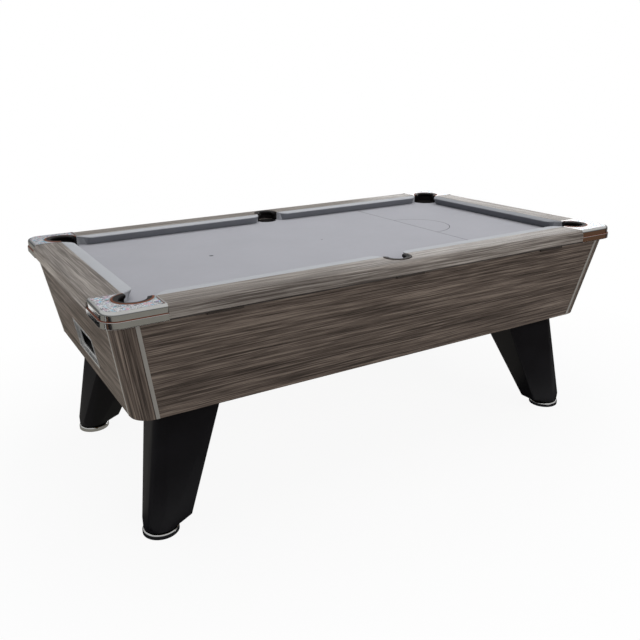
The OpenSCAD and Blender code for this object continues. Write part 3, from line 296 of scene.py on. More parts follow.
@dataclass(frozen=True)
class Laminate:
    """A printed wood laminate with long fine streaks.

    The pairs from drift to pores are how many lumps a noise has to a metre, along the grain and
    across it. An upright board's grain follows its lean along X and Y.
    """

    name: str
    grain: Grain
    dark: Colour
    middle: Colour
    pale: Colour
    roughness: float = 0.46
    gloss_spread: float = 0.12
    lean: Pair = (0.159, 0.196)
    drift: Pair = (1.3, 4.0)
    drift_depth: float = 0.010
    streaks: Pair = (3.0, 210.0)
    hairs: Pair = (7.0, 520.0)
    bands: Pair = (0.8, 26.0)
    seams: Pair = (1.3, 95.0)
    pores: Pair = (26.0, 560.0)
    relief: float = 0.0002
    # Painted shade on the flat top, darker than the round below it.
    top_shade: float = 0.0
    top_z: Pair = (0.812, 0.836)
    painted_top_colour: Colour = srgb(14, 12, 11)
    # Below this height a painted shadow line runs along the board's lowest edge, in the colour under it.
    bare_z: float = 0.0
    bare: Colour = srgb(26, 22, 20)

    def make(self) -> bpy.types.Material:
        """Streaks, hairs and broad bands, each a noise drawn out along the grain, with thin dark lines.

        Returns:
            The material. A dark line runs where a slow noise passes through its middle value. The
            flat top is painted darker, as shade, than the round under it, and the lowest edge is
            painted dark as a shadow line.
        """
        g = Graph(self.name)
        along, across, up = g.axes(self.grain)
        if self.grain is Grain.UPRIGHT:
            across, up = abs(across) - along * self.lean[0], abs(up) - along * self.lean[1]
        drift = (g.noise(self.drift, 2.0, axes=(along, across, up)) - 0.5) * self.drift_depth
        axes = (along, across + drift, up + drift)
        streak = g.noise(self.streaks, rough=0.6, axes=axes)
        hair = g.noise(self.hairs, rough=0.65, axes=axes)
        band = g.noise(self.bands, 2.0, axes=axes)
        seam = g.noise(self.seams, 2.0, 0.5, axes=axes)
        lines = (1 - abs(seam - 0.5) * 24.0).clamped() * streak.ramp(0.62, 0.42)
        pores = g.noise(self.pores, 2.0, axes=axes).ramp(0.60, 0.72)
        tone = (streak * 0.46 + hair * 0.34 + band * 0.2).ramp(0.39, 0.61)
        colour = g.ramp(tone, ((0.0, self.dark), (0.5, self.middle), (1.0, self.pale)))
        colour = g.mix((lines * 0.7 + pores * 0.3).clamped(), colour, self.dark)
        # Painted shade: the flat top is darkened against the round below it.
        colour = g.mix(g.z.ramp(*self.top_z) * self.top_shade, colour, self.painted_top_colour)
        # Painted shadow: the board's lowest edge goes dark along the seam under the rail.
        colour = g.mix((g.z < self.bare_z) * 0.8, colour, self.bare)
        g.surface(
            bump=tone * 0.6 - lines * 0.4,
            depth=self.relief,
            Base_Color=colour,
            Roughness=self.roughness + (1 - tone) * self.gloss_spread,
            Specular_IOR_Level=0.35,
        )
        return g.material


@dataclass(frozen=True)
class TableCloth:
    """Short-napped wool cloth, with lines and spots drawn on the bed's and painted shade on the cushions'."""

    name: str
    colour: Colour
    marked: bool = False
    fibres: float = 900.0
    nap: Pair = (40.0, 160.0)
    mottles: float = 5.0
    relief: float = 0.0003
    ink: Colour = srgb(44, 44, 50)
    line: float = 0.0016
    baulk_x: float = 0.489
    baulk_half: float = 0.4575
    d_radius: float = 0.155
    spots: tuple[Pair, ...] = ((0.489, 0.0042), (-0.495, 0.0085), (0.0, 0.0042))
    # The colour of the painted shade on the cushions.
    painted_shade: Colour = srgb(74, 76, 84)
    nose_z: Pair = (0.8345, 0.8315)
    faces: Pair = (0.935, 0.4775)
    jaws: Pair = (0.872, 0.415)
    jaw_fade: float = 0.03
    far_end_x: float = 0.9
    far_end_fade: float = 0.04

    def make(self) -> bpy.types.Material:
        """Fine fibre noise, a drawn nap and a soft mottling, added up into one tone.

        Returns:
            The material.
        """
        g = Graph(self.name)
        fibre = g.noise(self.fibres, rough=0.7)
        nap = g.noise(self.nap)
        mottle = g.noise(self.mottles)
        tone = (fibre * 0.5 + nap * 0.2 + mottle * 0.3).ramp(0.25, 0.75)
        colour = g.mix(tone, shade(self.colour, 0.90), shade(self.colour, 1.08))
        if self.marked:
            colour = g.mix(self._marks(g) * 0.85, colour, self.ink)
        else:
            colour = self._paint_shade(g, colour)
        g.surface(
            bump=fibre * 0.6 + nap * 0.4,
            depth=self.relief,
            Base_Color=colour,
            Roughness=0.93,
            Specular_IOR_Level=0.15,
            Sheen_Weight=0.1,
            Sheen_Roughness=0.5,
        )
        return g.material

    def _paint_shade(self, g: Graph, colour: Input) -> bpy.types.NodeSocket:
        """Paints shade on the cushions' faces below the nose between their jaws, and on the baulk end's all
        over.

        Args:
            g: the nodes.
            colour: the clean cloth's colour.

        Returns:
            The colour with the painted shade.
        """
        # Painted shade: the cloth is darker below the nose, and over the whole baulk end cushion.
        ends = (abs(g.x) < self.faces[0]) * abs(g.y).ramp(self.jaws[1], self.jaws[1] - self.jaw_fade)
        sides = (abs(g.y) < self.faces[1]) * abs(g.x).ramp(self.jaws[0], self.jaws[0] - self.jaw_fade)
        far_end_shade = (g.x > self.far_end_x) * abs(g.y).ramp(self.jaws[1] + self.far_end_fade, self.jaws[1])
        colour = g.mix(far_end_shade * 0.45, colour, self.painted_shade)
        return g.mix(g.z.ramp(*self.nose_z) * ends.larger(sides) * 0.7, colour, self.painted_shade)

    def _marks(self, g: Graph) -> Value:
        """The lines and spots.

        Args:
            g: the nodes.

        Returns:
            One near a straight line, near a half circle and inside three small circles.
        """
        out = g.x - self.baulk_x
        baulk = (abs(out) < self.line) * (abs(g.y) < self.baulk_half)
        ring = (out * out + g.y * g.y).root() - self.d_radius
        marks = baulk.larger((abs(ring) < self.line) * (out > 0.0))
        for x, radius in self.spots:
            dx = g.x - x
            marks = marks.larger((dx * dx + g.y * g.y).root() < radius)
        return marks


@dataclass(frozen=True)
class Metal:
    """An uncoated or plated metal with faint cloudiness and fine scratches."""

    name: str
    colour: Colour
    roughness: float
    brushed: Grain = Grain.ALONG_X
    scratch: float = 0.08
    cloud: float = 0.06
    metallic: float = 1.0
    dull: float = 0.94
    scratches: Pair = (12.0, 900.0)
    clouds: float = 22.0
    patch: Colour = srgb(0, 0, 0)
    patch_metallic: float = 0.0
    patch_rough: float = 0.0

    def patch_mask(self, g: Graph) -> Union[Value, None]:
        """One where the metal takes the patch's colour, or None where it never does."""
        return None

    def make(self) -> bpy.types.Material:
        """Scratches are a noise drawn out along the brushing, clouds a broad noise, both in the roughness.

        Returns:
            The material.
        """
        g = Graph(self.name)
        lines = g.noise(self.scratches, 2.0, axes=g.axes(self.brushed))
        cloud = g.noise(self.clouds)
        colour = g.mix(cloud.ramp(0.3, 0.7), shade(self.colour, self.dull), self.colour)
        metallic = self.metallic
        rough = self.roughness + lines * self.scratch + cloud * self.cloud
        patch_mask = self.patch_mask(g)
        if patch_mask is not None:
            colour = g.mix(patch_mask, colour, self.patch)
            metallic = metallic - patch_mask * (metallic - self.patch_metallic)
            rough = rough + patch_mask * self.patch_rough
        g.surface(Base_Color=colour, Metallic=metallic, Roughness=rough)
        return g.material


@dataclass(frozen=True)
class CornerChrome(Metal):
    """The corner castings' chrome, with the tarnished groove between its two bands."""

    scratch: float = 0.0
    dull: float = 0.92
    patch: Colour = srgb(118, 62, 38)
    patch_metallic: float = 0.3
    patch_rough: float = 0.35
    groove_z: float = 0.811
    groove_half: float = 0.0013

    def patch_mask(self, g: Graph) -> Value:
        """One where the height is within a hair of the groove."""
        return abs(g.z - self.groove_z) < self.groove_half


@dataclass(frozen=True)
class WindowChrome(Metal):
    """The return window's chrome, black past its step as painted shade in the recess."""

    scratch: float = 0.0
    patch: Colour = srgb(7, 7, 7)
    patch_rough: float = 0.5
    face_x: float = 0.987
    face_z: float = 0.452
    lean: float = 0.159
    step: float = 0.0125

    def patch_mask(self, g: Graph) -> Value:
        """One where the depth, measured from the leaning panel's face, is past the step."""
        # Painted shade: past the step, deep in the window's recess, the chrome is black.
        return g.x + (g.z - self.face_z) * self.lean + self.face_x > self.step


@dataclass(frozen=True)
class SparkleInlay:
    """Silver flakes under a clear film with faint coloured glints, edged in brown beside the rails."""

    name: str = "sparkle_inlay"
    coarse: float = 125.0
    fine: float = 340.0
    silver: Stops = (
        (0.0, srgb(70, 74, 80)),
        (0.18, srgb(150, 154, 160)),
        (0.5, srgb(206, 208, 212)),
        (1.0, srgb(250, 250, 252)),
    )
    tints: Stops = (
        (0.0, srgb(104, 196, 228)),
        (0.45, srgb(150, 214, 232)),
        (0.6, srgb(232, 160, 172)),
        (1.0, srgb(176, 160, 206)),
    )
    fleck: Colour = srgb(58, 58, 70)
    relief: float = 0.0005
    end: Pair = (0.8862, 0.4252)
    edge: Colour = srgb(88, 50, 36)

    def make(self) -> bpy.types.Material:
        """Every cell of two patterns has its own tint and brightness, and tips the surface a little.

        Returns:
            The material.
        """
        g = Graph(self.name)
        red, green, blue = g.cell_tints(self.coarse)
        bright, turn, pick = g.cell_tints(self.fine)
        colour = g.mix((blue > 0.76) * 0.75, g.ramp(bright, self.silver), g.ramp(green, self.tints))
        colour = g.mix((red > 0.9) * 0.8, colour, self.fleck)
        border = (abs(g.x) < self.end[0]).larger(abs(g.y) < self.end[1])
        g.surface(
            bump=turn * 0.6 + pick * 0.4,
            depth=self.relief,
            Base_Color=g.mix(border, colour, self.edge),
            Metallic=0.3 - border * 0.3,
            Roughness=0.26 + turn * 0.2,
            Coat_Weight=0.4,
            Coat_Roughness=0.06,
        )
        return g.material


@dataclass(frozen=True)
class PocketMoulding:
    """A pocket's moulded liner: black and pebbled, with its lip's outer edge worn brown on top."""

    name: str
    centre: Pair
    lip_r: float
    lip_z: float
    worn: Colour
    colour: Colour = srgb(20, 17, 17)
    pebbles: float = 700.0
    patches: float = 40.0
    ragged: float = 0.003
    worn_z: Pair = (0.005, 0.002)
    worn_r: Pair = (0.0024, 0.0004)
    relief: float = 0.0002

    def make(self) -> bpy.types.Material:
        """Pebbles are the distance to the nearest cell centre, wear that to the pocket's middle.

        Returns:
            The material.
        """
        g = Graph(self.name)
        patch = g.noise(self.patches)
        dx, dy = abs(g.x) - self.centre[0], abs(g.y) - self.centre[1]
        out = (dx * dx + dy * dy).root() + (patch - 0.5) * self.ragged
        top = g.z.ramp(*(self.lip_z - down for down in self.worn_z))
        wear = out.ramp(*(self.lip_r - inwards for inwards in self.worn_r)) * top
        colour = g.mix(patch.ramp(0.3, 0.8) * 0.4, self.colour, shade(self.colour, 1.5))
        g.surface(
            bump=Value(g, g.cells(self.pebbles, "Distance")),
            depth=self.relief,
            Base_Color=g.mix(wear * (0.75 + patch * 0.4), colour, self.worn),
            Roughness=0.5 + patch * 0.12,
            Specular_IOR_Level=0.3,
        )
        return g.material


@dataclass(frozen=True)
class Figured:
    """Plywood or sawn slate: a soft figure drawn out along it, and fine pores or grit."""

    name: str
    dark: Colour
    pale: Colour
    figure: tuple[float, ...]
    pores: Union[float, Pair]
    roughness: float
    rough: float = 0.55
    bend: float = 0.0
    relief: float = 0.0002

    def make(self) -> bpy.types.Material:
        """Two noises added up into one tone, of which the finer one is also the height.

        Returns:
            The material.
        """
        g = Graph(self.name)
        figure = g.noise(self.figure, 4.0, self.rough, self.bend)
        pores = g.noise(self.pores, 2.0)
        tone = (figure * 0.7 + pores * 0.3).ramp(0.3, 0.7)
        colour = g.mix(tone, self.dark, self.pale)
        g.surface(bump=pores, depth=self.relief, Base_Color=colour, Roughness=self.roughness)
        return g.material


@dataclass(frozen=True)
class Lacquer:
    """Satin lacquer over timber or steel, with a faint orange peel."""

    name: str
    colour: Colour
    peels: float = 260.0
    clouds: float = 9.0
    relief: float = 0.00008

    def make(self) -> bpy.types.Material:
        """Orange peel is a fine soft noise in the height, and a broad one varies the gloss.

        Returns:
            The material.
        """
        g = Graph(self.name)
        cloud = g.noise(self.clouds)
        g.surface(
            bump=g.noise(self.peels, 2.0),
            depth=self.relief,
            Base_Color=g.mix(cloud.ramp(0.3, 0.7), shade(self.colour, 0.8), shade(self.colour, 1.2)),
            Roughness=0.42 + cloud * 0.16,
            Specular_IOR_Level=0.22,
        )
        return g.material


class Finishes:
    """Makes each finish once, the first time that it is asked for."""

    def __init__(self) -> None:
        """Lists the finishes by name."""
        rail = dict(dark=srgb(88, 79, 73), middle=srgb(148, 139, 131), pale=srgb(202, 193, 184))
        rail.update(roughness=0.34, bare_z=0.7945, top_shade=0.30)
        # Painted shade: the side and end panels and the posts take darker copies of the rails' laminate.
        side = dict(dark=srgb(58, 50, 44), middle=srgb(118, 104, 94), pale=srgb(170, 154, 140))
        end = dict(dark=srgb(58, 50, 44), middle=srgb(108, 97, 88), pale=srgb(156, 143, 131))
        chrome, slate = srgb(222, 222, 220), srgb(92, 96, 102)
        self.kinds: dict[str, Any] = {
            "rail_x": Laminate("rail_laminate_x", Grain.ALONG_X, **rail),
            "rail_y": Laminate("rail_laminate_y", Grain.ALONG_Y, **rail),
            "panel_x": Laminate("panel_laminate_x", Grain.ALONG_X, **side),
            "panel_y": Laminate("panel_laminate_y", Grain.ALONG_Y, **end),
            "post": Laminate("post_laminate", Grain.UPRIGHT, **side),
            "bed_cloth": TableCloth("bed_cloth", srgb(170, 170, 176), marked=True),
            "cushion_cloth": TableCloth("cushion_cloth", srgb(182, 184, 188)),
            "casting": CornerChrome("bright_casting", chrome, 0.1),
            "edging": Metal("edging", srgb(206, 202, 194), 0.34, Grain.UPRIGHT, 0.12, metallic=0.35),
            "chrome": Metal("foot_chrome", chrome, 0.06, scratch=0.04, cloud=0.04),
            "frame": WindowChrome("return_chrome", srgb(236, 236, 234), 0.24, metallic=0.4),
            # Partly painted shade: a black-lined tray, and black on the gully and trough so that the cabinet's
            # inside shows dark through the window.
            "tray": Lacquer("tray_black", srgb(16, 15, 15)),
            "steel": Metal("plated_steel", srgb(170, 170, 172), 0.34, scratch=0.1),
            "hinge": Lacquer("hinge_paint", srgb(70, 62, 56)),
            "plate": Metal("mech_plate", srgb(186, 186, 188), 0.3, scratch=0.16),
            "inlay": SparkleInlay(),
            "corner_liner": PocketMoulding(
                "corner_liner", (0.9455, 0.488), 0.0592, 0.8404, srgb(120, 66, 42)
            ),
            "middle_liner": PocketMoulding("middle_liner", (0.0, 0.520), 0.0482, 0.8402, srgb(44, 36, 32)),
            "plywood": Figured(
                "plywood", srgb(150, 118, 82), srgb(196, 164, 122), (3.0, 24.0), (30.0, 400.0), 0.65, 0.6, 0.6
            ),
            "slate": Figured(
                "slate_stone", shade(slate, 0.8), shade(slate, 1.15), (4.0, 4.0, 60.0), 600.0, 0.7
            ),
            "leg": Lacquer("leg_black", srgb(20, 19, 22)),
        }
        self.made: dict[str, bpy.types.Material] = {}

    def __getitem__(self, name: str) -> bpy.types.Material:
        """The material of that name."""
        if name not in self.made:
            self.made[name] = self.kinds[name].make()
        return self.made[name]


# Surfaces


def grid_faces(rows: int, columns: int, wrap_rows: bool = False, wrap_columns: bool = False) -> np.ndarray:
    """The quads of a grid of points numbered row by row.

    Args:
        rows: points along the first parameter.
        columns: points along the second.
        wrap_rows: whether the last row joins the first.
        wrap_columns: whether the last column joins the first.

    Returns:
        An array of four point numbers a face.
    """
    r = np.arange(rows if wrap_rows else rows - 1)
    c = np.arange(columns if wrap_columns else columns - 1)
    r0, c0 = (a.ravel() for a in np.meshgrid(r, c, indexing="ij"))
    r1, c1 = (r0 + 1) % rows, (c0 + 1) % columns
    return np.stack([r0 * columns + c0, r1 * columns + c0, r1 * columns + c1, r0 * columns + c1], axis=1)


def joined(parts: Iterable[Part]) -> Part:
    """Makes several parts one.

    Args:
        parts: points and faces of each.

    Returns:
        All points, and all faces with their point numbers moved on.
    """
    points, faces, base = [], [], 0
    for part, rings in parts:
        points.append(part)
        faces += [[i + base for i in ring] for ring in rings]
        base += len(part)
    return np.concatenate(points), faces


def weld(points: np.ndarray, faces: Sequence[Sequence[int]]) -> Part:
    """Joins points that share a place and drops the faces that close up.

    Args:
        points: places in metres.
        faces: the point numbers of each face.

    Returns:
        The points and faces that are left.
    """
    keys = np.round(points / CLOSE).astype(np.int64)
    _, first, number = np.unique(keys, axis=0, return_index=True, return_inverse=True)
    number = number.ravel()
    kept = []
    for face in faces:
        ring = [int(number[i]) for i in face]
        ring = [v for k, v in enumerate(ring) if v != ring[k - 1]]
        if len(set(ring)) > 2:
            kept.append(ring)
    return points[first], kept


def build_mesh(
    name: str, points: np.ndarray, faces: Sequence[Sequence[int]], smooth: bool = True, turn: bool = False
) -> bpy.types.Object:
    """Makes an object from points and faces.

    Args:
        name: the object's name.
        points: an array of places in metres.
        faces: the point numbers of each face.
        smooth: whether it is shaded smooth.
        turn: whether all its faces are turned over if they look inwards, as they do where the sum
            of a . (b x c) over its triangles is negative.

    Returns:
        The object, linked to the scene.
    """
    mesh = bpy.data.meshes.new(name)
    mesh.from_pydata(points.tolist(), [], [tuple(int(i) for i in f) for f in faces])
    mesh.validate()
    mesh.polygons.foreach_set("use_smooth", np.full(len(mesh.polygons), smooth))
    mesh.update()
    if turn:
        mesh.calc_loop_triangles()
        corner = np.zeros(len(mesh.loop_triangles) * 3, dtype=np.int32)
        mesh.loop_triangles.foreach_get("vertices", corner)
        a, b, c = (points[corner[k::3]] for k in range(3))
        if float(np.sum(a * np.cross(b, c))) < 0:
            mesh.flip_normals()
    obj = bpy.data.objects.new(name, mesh)
    bpy.context.scene.collection.objects.link(obj)
    return obj


def arc(centre: Pair, radius: float, start: float, end: float, count: int) -> np.ndarray:
    """Points on a circle from one angle to another, in degrees."""
    a = np.radians(np.linspace(start, end, count))
    return np.stack([centre[0] + radius * np.cos(a), centre[1] + radius * np.sin(a)], axis=1)


def inner_steps(start: float, end: float, count: int) -> np.ndarray:
    """Evenly spaced numbers between two, without them."""
    return np.linspace(start, end, count + 2)[1:-1]


def rounded_loop(corners: Sequence[Triple], steps: int = 6) -> np.ndarray:
    """A closed outline with its corners rounded.

    Args:
        corners: each corner's two coordinates and its radius.
        steps: the spans of each round.

    Returns:
        The outline's points. Each round is the arc tangent to both sides at its corner.
    """
    out = []
    for i, (x, y, r) in enumerate(corners):
        a, b, c = (np.array(p[:2]) for p in (corners[i - 1], (x, y), corners[(i + 1) % len(corners)]))
        if r <= 0:
            out.append(b[None])
            continue
        u, v = (a - b) / np.linalg.norm(a - b), (c - b) / np.linalg.norm(c - b)
        half = math.acos(float(np.clip(u @ v, -1, 1))) / 2
        m = b + (u + v) / np.linalg.norm(u + v) * r / math.sin(half)
        p, q = b + u * r / math.tan(half) - m, b + v * r / math.tan(half) - m
        s, e = math.atan2(p[1], p[0]), math.atan2(q[1], q[0])
        turn = (e - s + 3 * math.pi) % (2 * math.pi) - math.pi
        t = s + turn * np.linspace(0, 1, steps + 1)
        out.append(m + r * np.stack([np.cos(t), np.sin(t)], axis=1))
    return np.concatenate(out)


def mirror_points(points: np.ndarray, x_side: int, y_side: int) -> np.ndarray:
    """The points with X and Y multiplied by plus or minus one."""
    return points * np.array([x_side, y_side, 1.0])


# The table's pieces


@dataclass
class Dresser:
    """Gives CAD nodes their finishes and adopts new pieces."""

    finishes: Finishes

    def node(self, name: str, finish: str) -> None:
        """Puts a finish on a CAD node.

        Args:
            name: the node's name.
            finish: the finish's name.
        """
        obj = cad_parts[name]
        for slot in obj.material_slots:
            slot.material = self.finishes[finish]
        log.info("node %s: %s", name, finish)

    def adopt(
        self, obj: bpy.types.Object, body: str, finish: str, replaces: Sequence[str]
    ) -> None:
        """Makes a piece ride on a body.

        Args:
            obj: the piece.
            body: the CAD body that it moves with.
            finish: its finish.
            replaces: the CAD nodes that it is shown for.
        """
        obj.data.materials.append(self.finishes[finish])
        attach(obj, body)
        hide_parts(*replaces)
        log.info("piece %s: %d points", obj.name, len(obj.data.vertices))


@dataclass
class PlayingField:
    """The bed cloth and the six cushions."""

    nose_x: float = 914.5 * MM
    nose_y: float = 457.0 * MM
    cushion: float = 44.0 * MM
    bed: float = 803.0 * MM
    rail_top: float = 838.0 * MM
    corner: Pair = (945.5 * MM, 488.0 * MM)
    corner_r: float = 64.0 * MM
    middle_y: float = 508.0 * MM
    middle_r: float = 44.0 * MM
    rim_y: float = 520.0 * MM
    rim_r: float = 53.0 * MM
    pocket_gap: float = 0.3 * MM
    jaw_gap: float = 1.0 * MM
    corner_jaw: float = 73.0 * MM
    middle_jaw: float = 60.0 * MM
    under_rail: float = 2.5 * MM
    cloth_thick: float = 0.8 * MM
    cloth_rows: int = 34
    cloth_first: float = 0.02
    cloth_crowding: float = 1.6
    edge_steps: tuple[int, int, int, int] = (28, 120, 40, 60)
    turned_down: Pair = (1.0 * MM, 5.0 * MM)
    rim_reach: float = 1.0 * MM
    jaw_round: float = 44.0 * MM
    jaw_steps: int = 12
    jaw_rows: int = 12
    nose_steps: int = 56
    face_rows: int = 7
    bend_rows: int = 9
    top_rows: int = 12
    top_crowding: float = 0.8
    under_every: int = 5
    nose_round: float = 4.0 * MM
    nose_turn: Pair = (-38.0, 62.0)
    nose_high: float = 29.0 * MM
    shoulder_in: float = 2.0 * MM
    shoulder_share: float = 0.96
    foot_high: float = 0.4 * MM
    overlap: float = 0.4 * MM
    undercut: float = 16.0 * MM
    jaw_undercut: float = 0.14
    back_fade: float = 8.0 * MM
    above_rail: float = 0.1 * MM
    swell: float = 0.9 * MM
    swell_width: float = 1.15
    fall: float = 2.6 * MM
    dip: Pair = (0.8 * MM, 1.6 * MM)
    crease: float = math.radians(48)

    def cloth_outline(self) -> np.ndarray:
        """The cloth's edge for the quarter at +X +Y, from the Y axis round to the X axis.

        Returns:
            Points in a row: the arc at the middle pocket, the side, the arc at the corner pocket, the end.
        """
        hx, hy = (nose + self.cushion + self.under_rail for nose in (self.nose_x, self.nose_y))
        middle_count, side_count, corner_count, end_count = self.edge_steps
        r = self.middle_r + self.pocket_gap
        end = math.degrees(math.asin((hy - self.middle_y) / r))
        middle = arc((0, self.middle_y), r, -90, end, middle_count)
        r = self.corner_r + self.pocket_gap
        a = 180 - math.degrees(math.asin((hy - self.corner[1]) / r))
        b = 270 + math.degrees(math.asin((hx - self.corner[0]) / r))
        corner = arc(self.corner, r, a, b, corner_count)
        side_x = inner_steps(middle[-1, 0], corner[0, 0], side_count)
        end_y = inner_steps(corner[-1, 1], 0, end_count)
        side = np.stack([side_x, np.full(side_count, hy)], axis=1)
        return np.concatenate([middle, side, corner, np.stack([np.full(end_count, hx), end_y], axis=1)])

    def make_cloth(self, dresser: Dresser) -> None:
        """A sheet drawn out from its centre to its edge, with its rim turned down at the pockets.

        The point at share u of the way to edge point v is u times that point, and u runs as a
        smooth curve that is finer near the edge. Over the last two rows, which lie on the edge,
        the sheet drops where the edge is a pocket's arc.

        Args:
            dresser: takes the sheet.
        """
        quarter = self.cloth_outline()
        half = np.concatenate([quarter, (quarter * [1, -1])[::-1][1:]])
        edge = np.concatenate([half, -half[1:-1]])
        even = np.linspace(self.cloth_first, 1, self.cloth_rows)
        shares = np.concatenate([1 - (1 - even) ** self.cloth_crowding, [1.0, 1.0]])
        points = np.full((len(shares), len(edge), 3), self.bed)
        points[:, :, :2] = shares[:, None, None] * edge[None]
        x, y = edge.T
        off_corner = np.hypot(np.abs(x) - self.corner[0], np.abs(y) - self.corner[1]) - self.corner_r
        off_middle = np.hypot(x, np.abs(y) - self.middle_y) - self.middle_r
        at_pocket = np.minimum(off_corner, off_middle) < self.rim_reach
        points[-2:, :, 2] -= np.outer(self.turned_down, at_pocket)
        count = len(edge)
        n = np.arange(count)
        middle = np.stack([n, np.full(count, points.size // 3), (n + 1) % count], axis=1)
        faces = grid_faces(len(shares), count, wrap_columns=True)[:, ::-1].tolist() + middle.tolist()
        points = np.concatenate([points.reshape(-1, 3), [[0, 0, self.bed]]])
        obj = build_mesh("bed_cloth_sheet", points, faces)
        solid = obj.modifiers.new("thickness", "SOLIDIFY")
        solid.thickness, solid.offset = self.cloth_thick, -1.0
        dresser.adopt(obj, "top", "bed_cloth", ["bed_cloth"])

    def crown(self, depth: np.ndarray) -> np.ndarray:
        """A cushion's height above the cloth: a soft crown that falls to the nose and dips at the rail.

        Args:
            depth: the distance from the back line.

        Returns:
            The rail's height plus a flattened sine, less a cube of the depth and a dip at the back
            that dies away as exp(-(depth / width) ** 2).
        """
        share = depth / self.cushion
        level = self.rail_top - self.bed + self.above_rail
        dip = self.dip[0] * np.exp(-((depth / self.dip[1]) ** 2))
        return level + self.swell * np.sin(np.pi * share / self.swell_width) - self.fall * share**3 - dip

    def jaw_path(self, ends: Sequence[Sequence[float]]) -> tuple[np.ndarray, ...]:
        """A cushion's open outline from its back, round its nose and back again.

        Args:
            ends: the four corners as along and depth: back, nose, nose, back.

        Returns:
            Points, outward normals, how much of the nose's undercut each point has, which is all
            of it on the nose, a seventh on the jaws and none at the back, and how much of the
            nose's round it has, which is all of it but at the back.
        """
        d, a, b, c = (np.array(p) for p in ends)
        rounds = [(*a, self.jaw_round), (*b, self.jaw_round), (*c, 0), (*d, 0)]
        loop = rounded_loop(rounds, self.jaw_steps)
        first, second = np.split(loop[:-2], 2)
        share = np.linspace(0, 1, self.jaw_rows)[:, None]
        nose = 0.5 - 0.5 * np.cos(np.pi * inner_steps(0, 1, self.nose_steps))[:, None]
        path = np.concatenate(
            [
                d + (first[0] - d) * share[:-1],
                first,
                first[-1] + (second[0] - first[-1]) * nose,
                second,
                second[-1] + (c - second[-1]) * share[1:],
            ]
        )
        step = np.gradient(path, axis=0)
        normal = np.stack([-step[:, 1], step[:, 0]], axis=1)
        normal /= np.linalg.norm(normal, axis=1)[:, None]
        if normal[len(normal) // 2, 1] < 0:
            normal = -normal
        facing = np.clip(normal[:, 1], 0, 1) ** 2
        fade = np.clip(path[:, 1] / self.back_fade, 0, 1)
        return path, normal, (self.jaw_undercut + (1 - self.jaw_undercut) * facing) * fade, fade

    def cushion_skin(self, ends: Sequence[Sequence[float]]) -> Part:
        """A cushion's side, top, underside and back.

        Args:
            ends: its four corners as along and depth.

        Returns:
            Points as along, depth and height, and faces. A side point is the outline's point less
            its undercut times the normal, at a share of the crown's height. A top point goes
            straight from the side's top to the back line, at the crown's height there. The
            underside does so at the bottom and ends 2 mm short of the back.
        """
        path, normal, weight, fade = self.jaw_path(ends)
        turn = np.radians(np.linspace(*self.nose_turn, self.bend_rows))
        low, r, peak = self.foot_high, self.nose_round, self.nose_high
        bend = np.stack([r - r * np.cos(turn), peak + r * np.sin(turn)], axis=1)
        foot = np.array([self.undercut, low])
        straight = foot + (bend[0] - foot) * np.linspace(0, 1, self.face_rows)[:-1, None]
        shoulder = [[bend[-1, 0] + self.shoulder_in, peak + r * self.shoulder_share]]
        shape = np.concatenate([straight, bend, shoulder])
        lean = np.zeros(len(shape))
        lean[: len(straight)] = straight[:, 0] - bend[0, 0]
        inset = lean[:, None] * weight + (shape[:, 0] - lean)[:, None] * fade
        level = (shape[:, 1] - low) / (shape[-1, 1] - low)
        side = path - inset[..., None] * normal
        top_height = self.crown(np.clip(side[-1, :, 1], 0, None))
        start, end = path[0, 0], path[-1, 0]
        share = np.maximum.accumulate(np.clip((path[:, 0] - start) / (end - start), 0, 1))
        back = np.stack([start + (end - start) * share, np.zeros(len(path))], axis=1)
        v = (np.linspace(0, 1, self.top_rows) ** self.top_crowding)[:, None, None]
        top = side[-1] + (back - side[-1]) * v
        under = side[0] + (back - side[0]) * v[:: self.under_every]
        back_heights = np.repeat([[self.crown(np.zeros(1))[0]], [low]], len(back), axis=1)
        grids = [
            (side, low + level[:, None] * (top_height - low)),
            (top, self.crown(np.clip(top[..., 1], 0, None))),
            (under[:, ::-1], np.full(under.shape[:2], low)),
            (np.stack([back, back]), back_heights),
        ]
        return joined(
            (np.concatenate([flat, up[..., None]], axis=-1).reshape(-1, 3), grid_faces(*up.shape).tolist())
            for flat, up in grids
        )

    def make_cushions(self, dresser: Dresser) -> None:
        """The four long cushions and the two end ones, turned into place from one skin of each kind.

        Args:
            dresser: takes the cushions.
        """
        back_x, back_y = self.nose_x + self.cushion, self.nose_y + self.cushion
        depth = self.cushion + self.overlap
        rim_end = math.sqrt(self.rim_r**2 - (back_y - self.rim_y) ** 2) + self.jaw_gap
        along_x = math.sqrt(self.corner_r**2 - (back_y - self.corner[1]) ** 2)
        along_y = math.sqrt(self.corner_r**2 - (back_x - self.corner[0]) ** 2)
        side_end, end_end = self.corner[0] - along_x - self.jaw_gap, self.corner[1] - along_y - self.jaw_gap
        nose_end, short = self.nose_x - self.corner_jaw, self.nose_y - self.corner_jaw
        a_long = self.cushion_skin([(rim_end, 0), (self.middle_jaw, depth), (nose_end, depth), (side_end, 0)])
        an_end = self.cushion_skin([(-end_end, 0), (-short, depth), (short, depth), (end_end, 0)])
        placed = [(name, a_long, x_side, y_side) for name, x_side, y_side in QUARTERS]
        placed += [("return_end", an_end, -1, 1), ("baulk_end", an_end, 1, 1)]
        for name, (skin, faces), x_side, y_side in placed:
            along, inwards, height = skin.T
            x, y = (along, back_y - inwards) if skin is a_long[0] else (back_x - inwards, along)
            points = mirror_points(np.stack([x, y, self.bed + height], axis=-1), x_side, y_side)
            obj = build_mesh(f"cushion_{name}_cloth", *weld(points, faces), turn=True)
            obj.data.set_sharp_from_angle(angle=self.crease)
            dresser.adopt(obj, "top", "cushion_cloth", [f"cushion_{name}"])


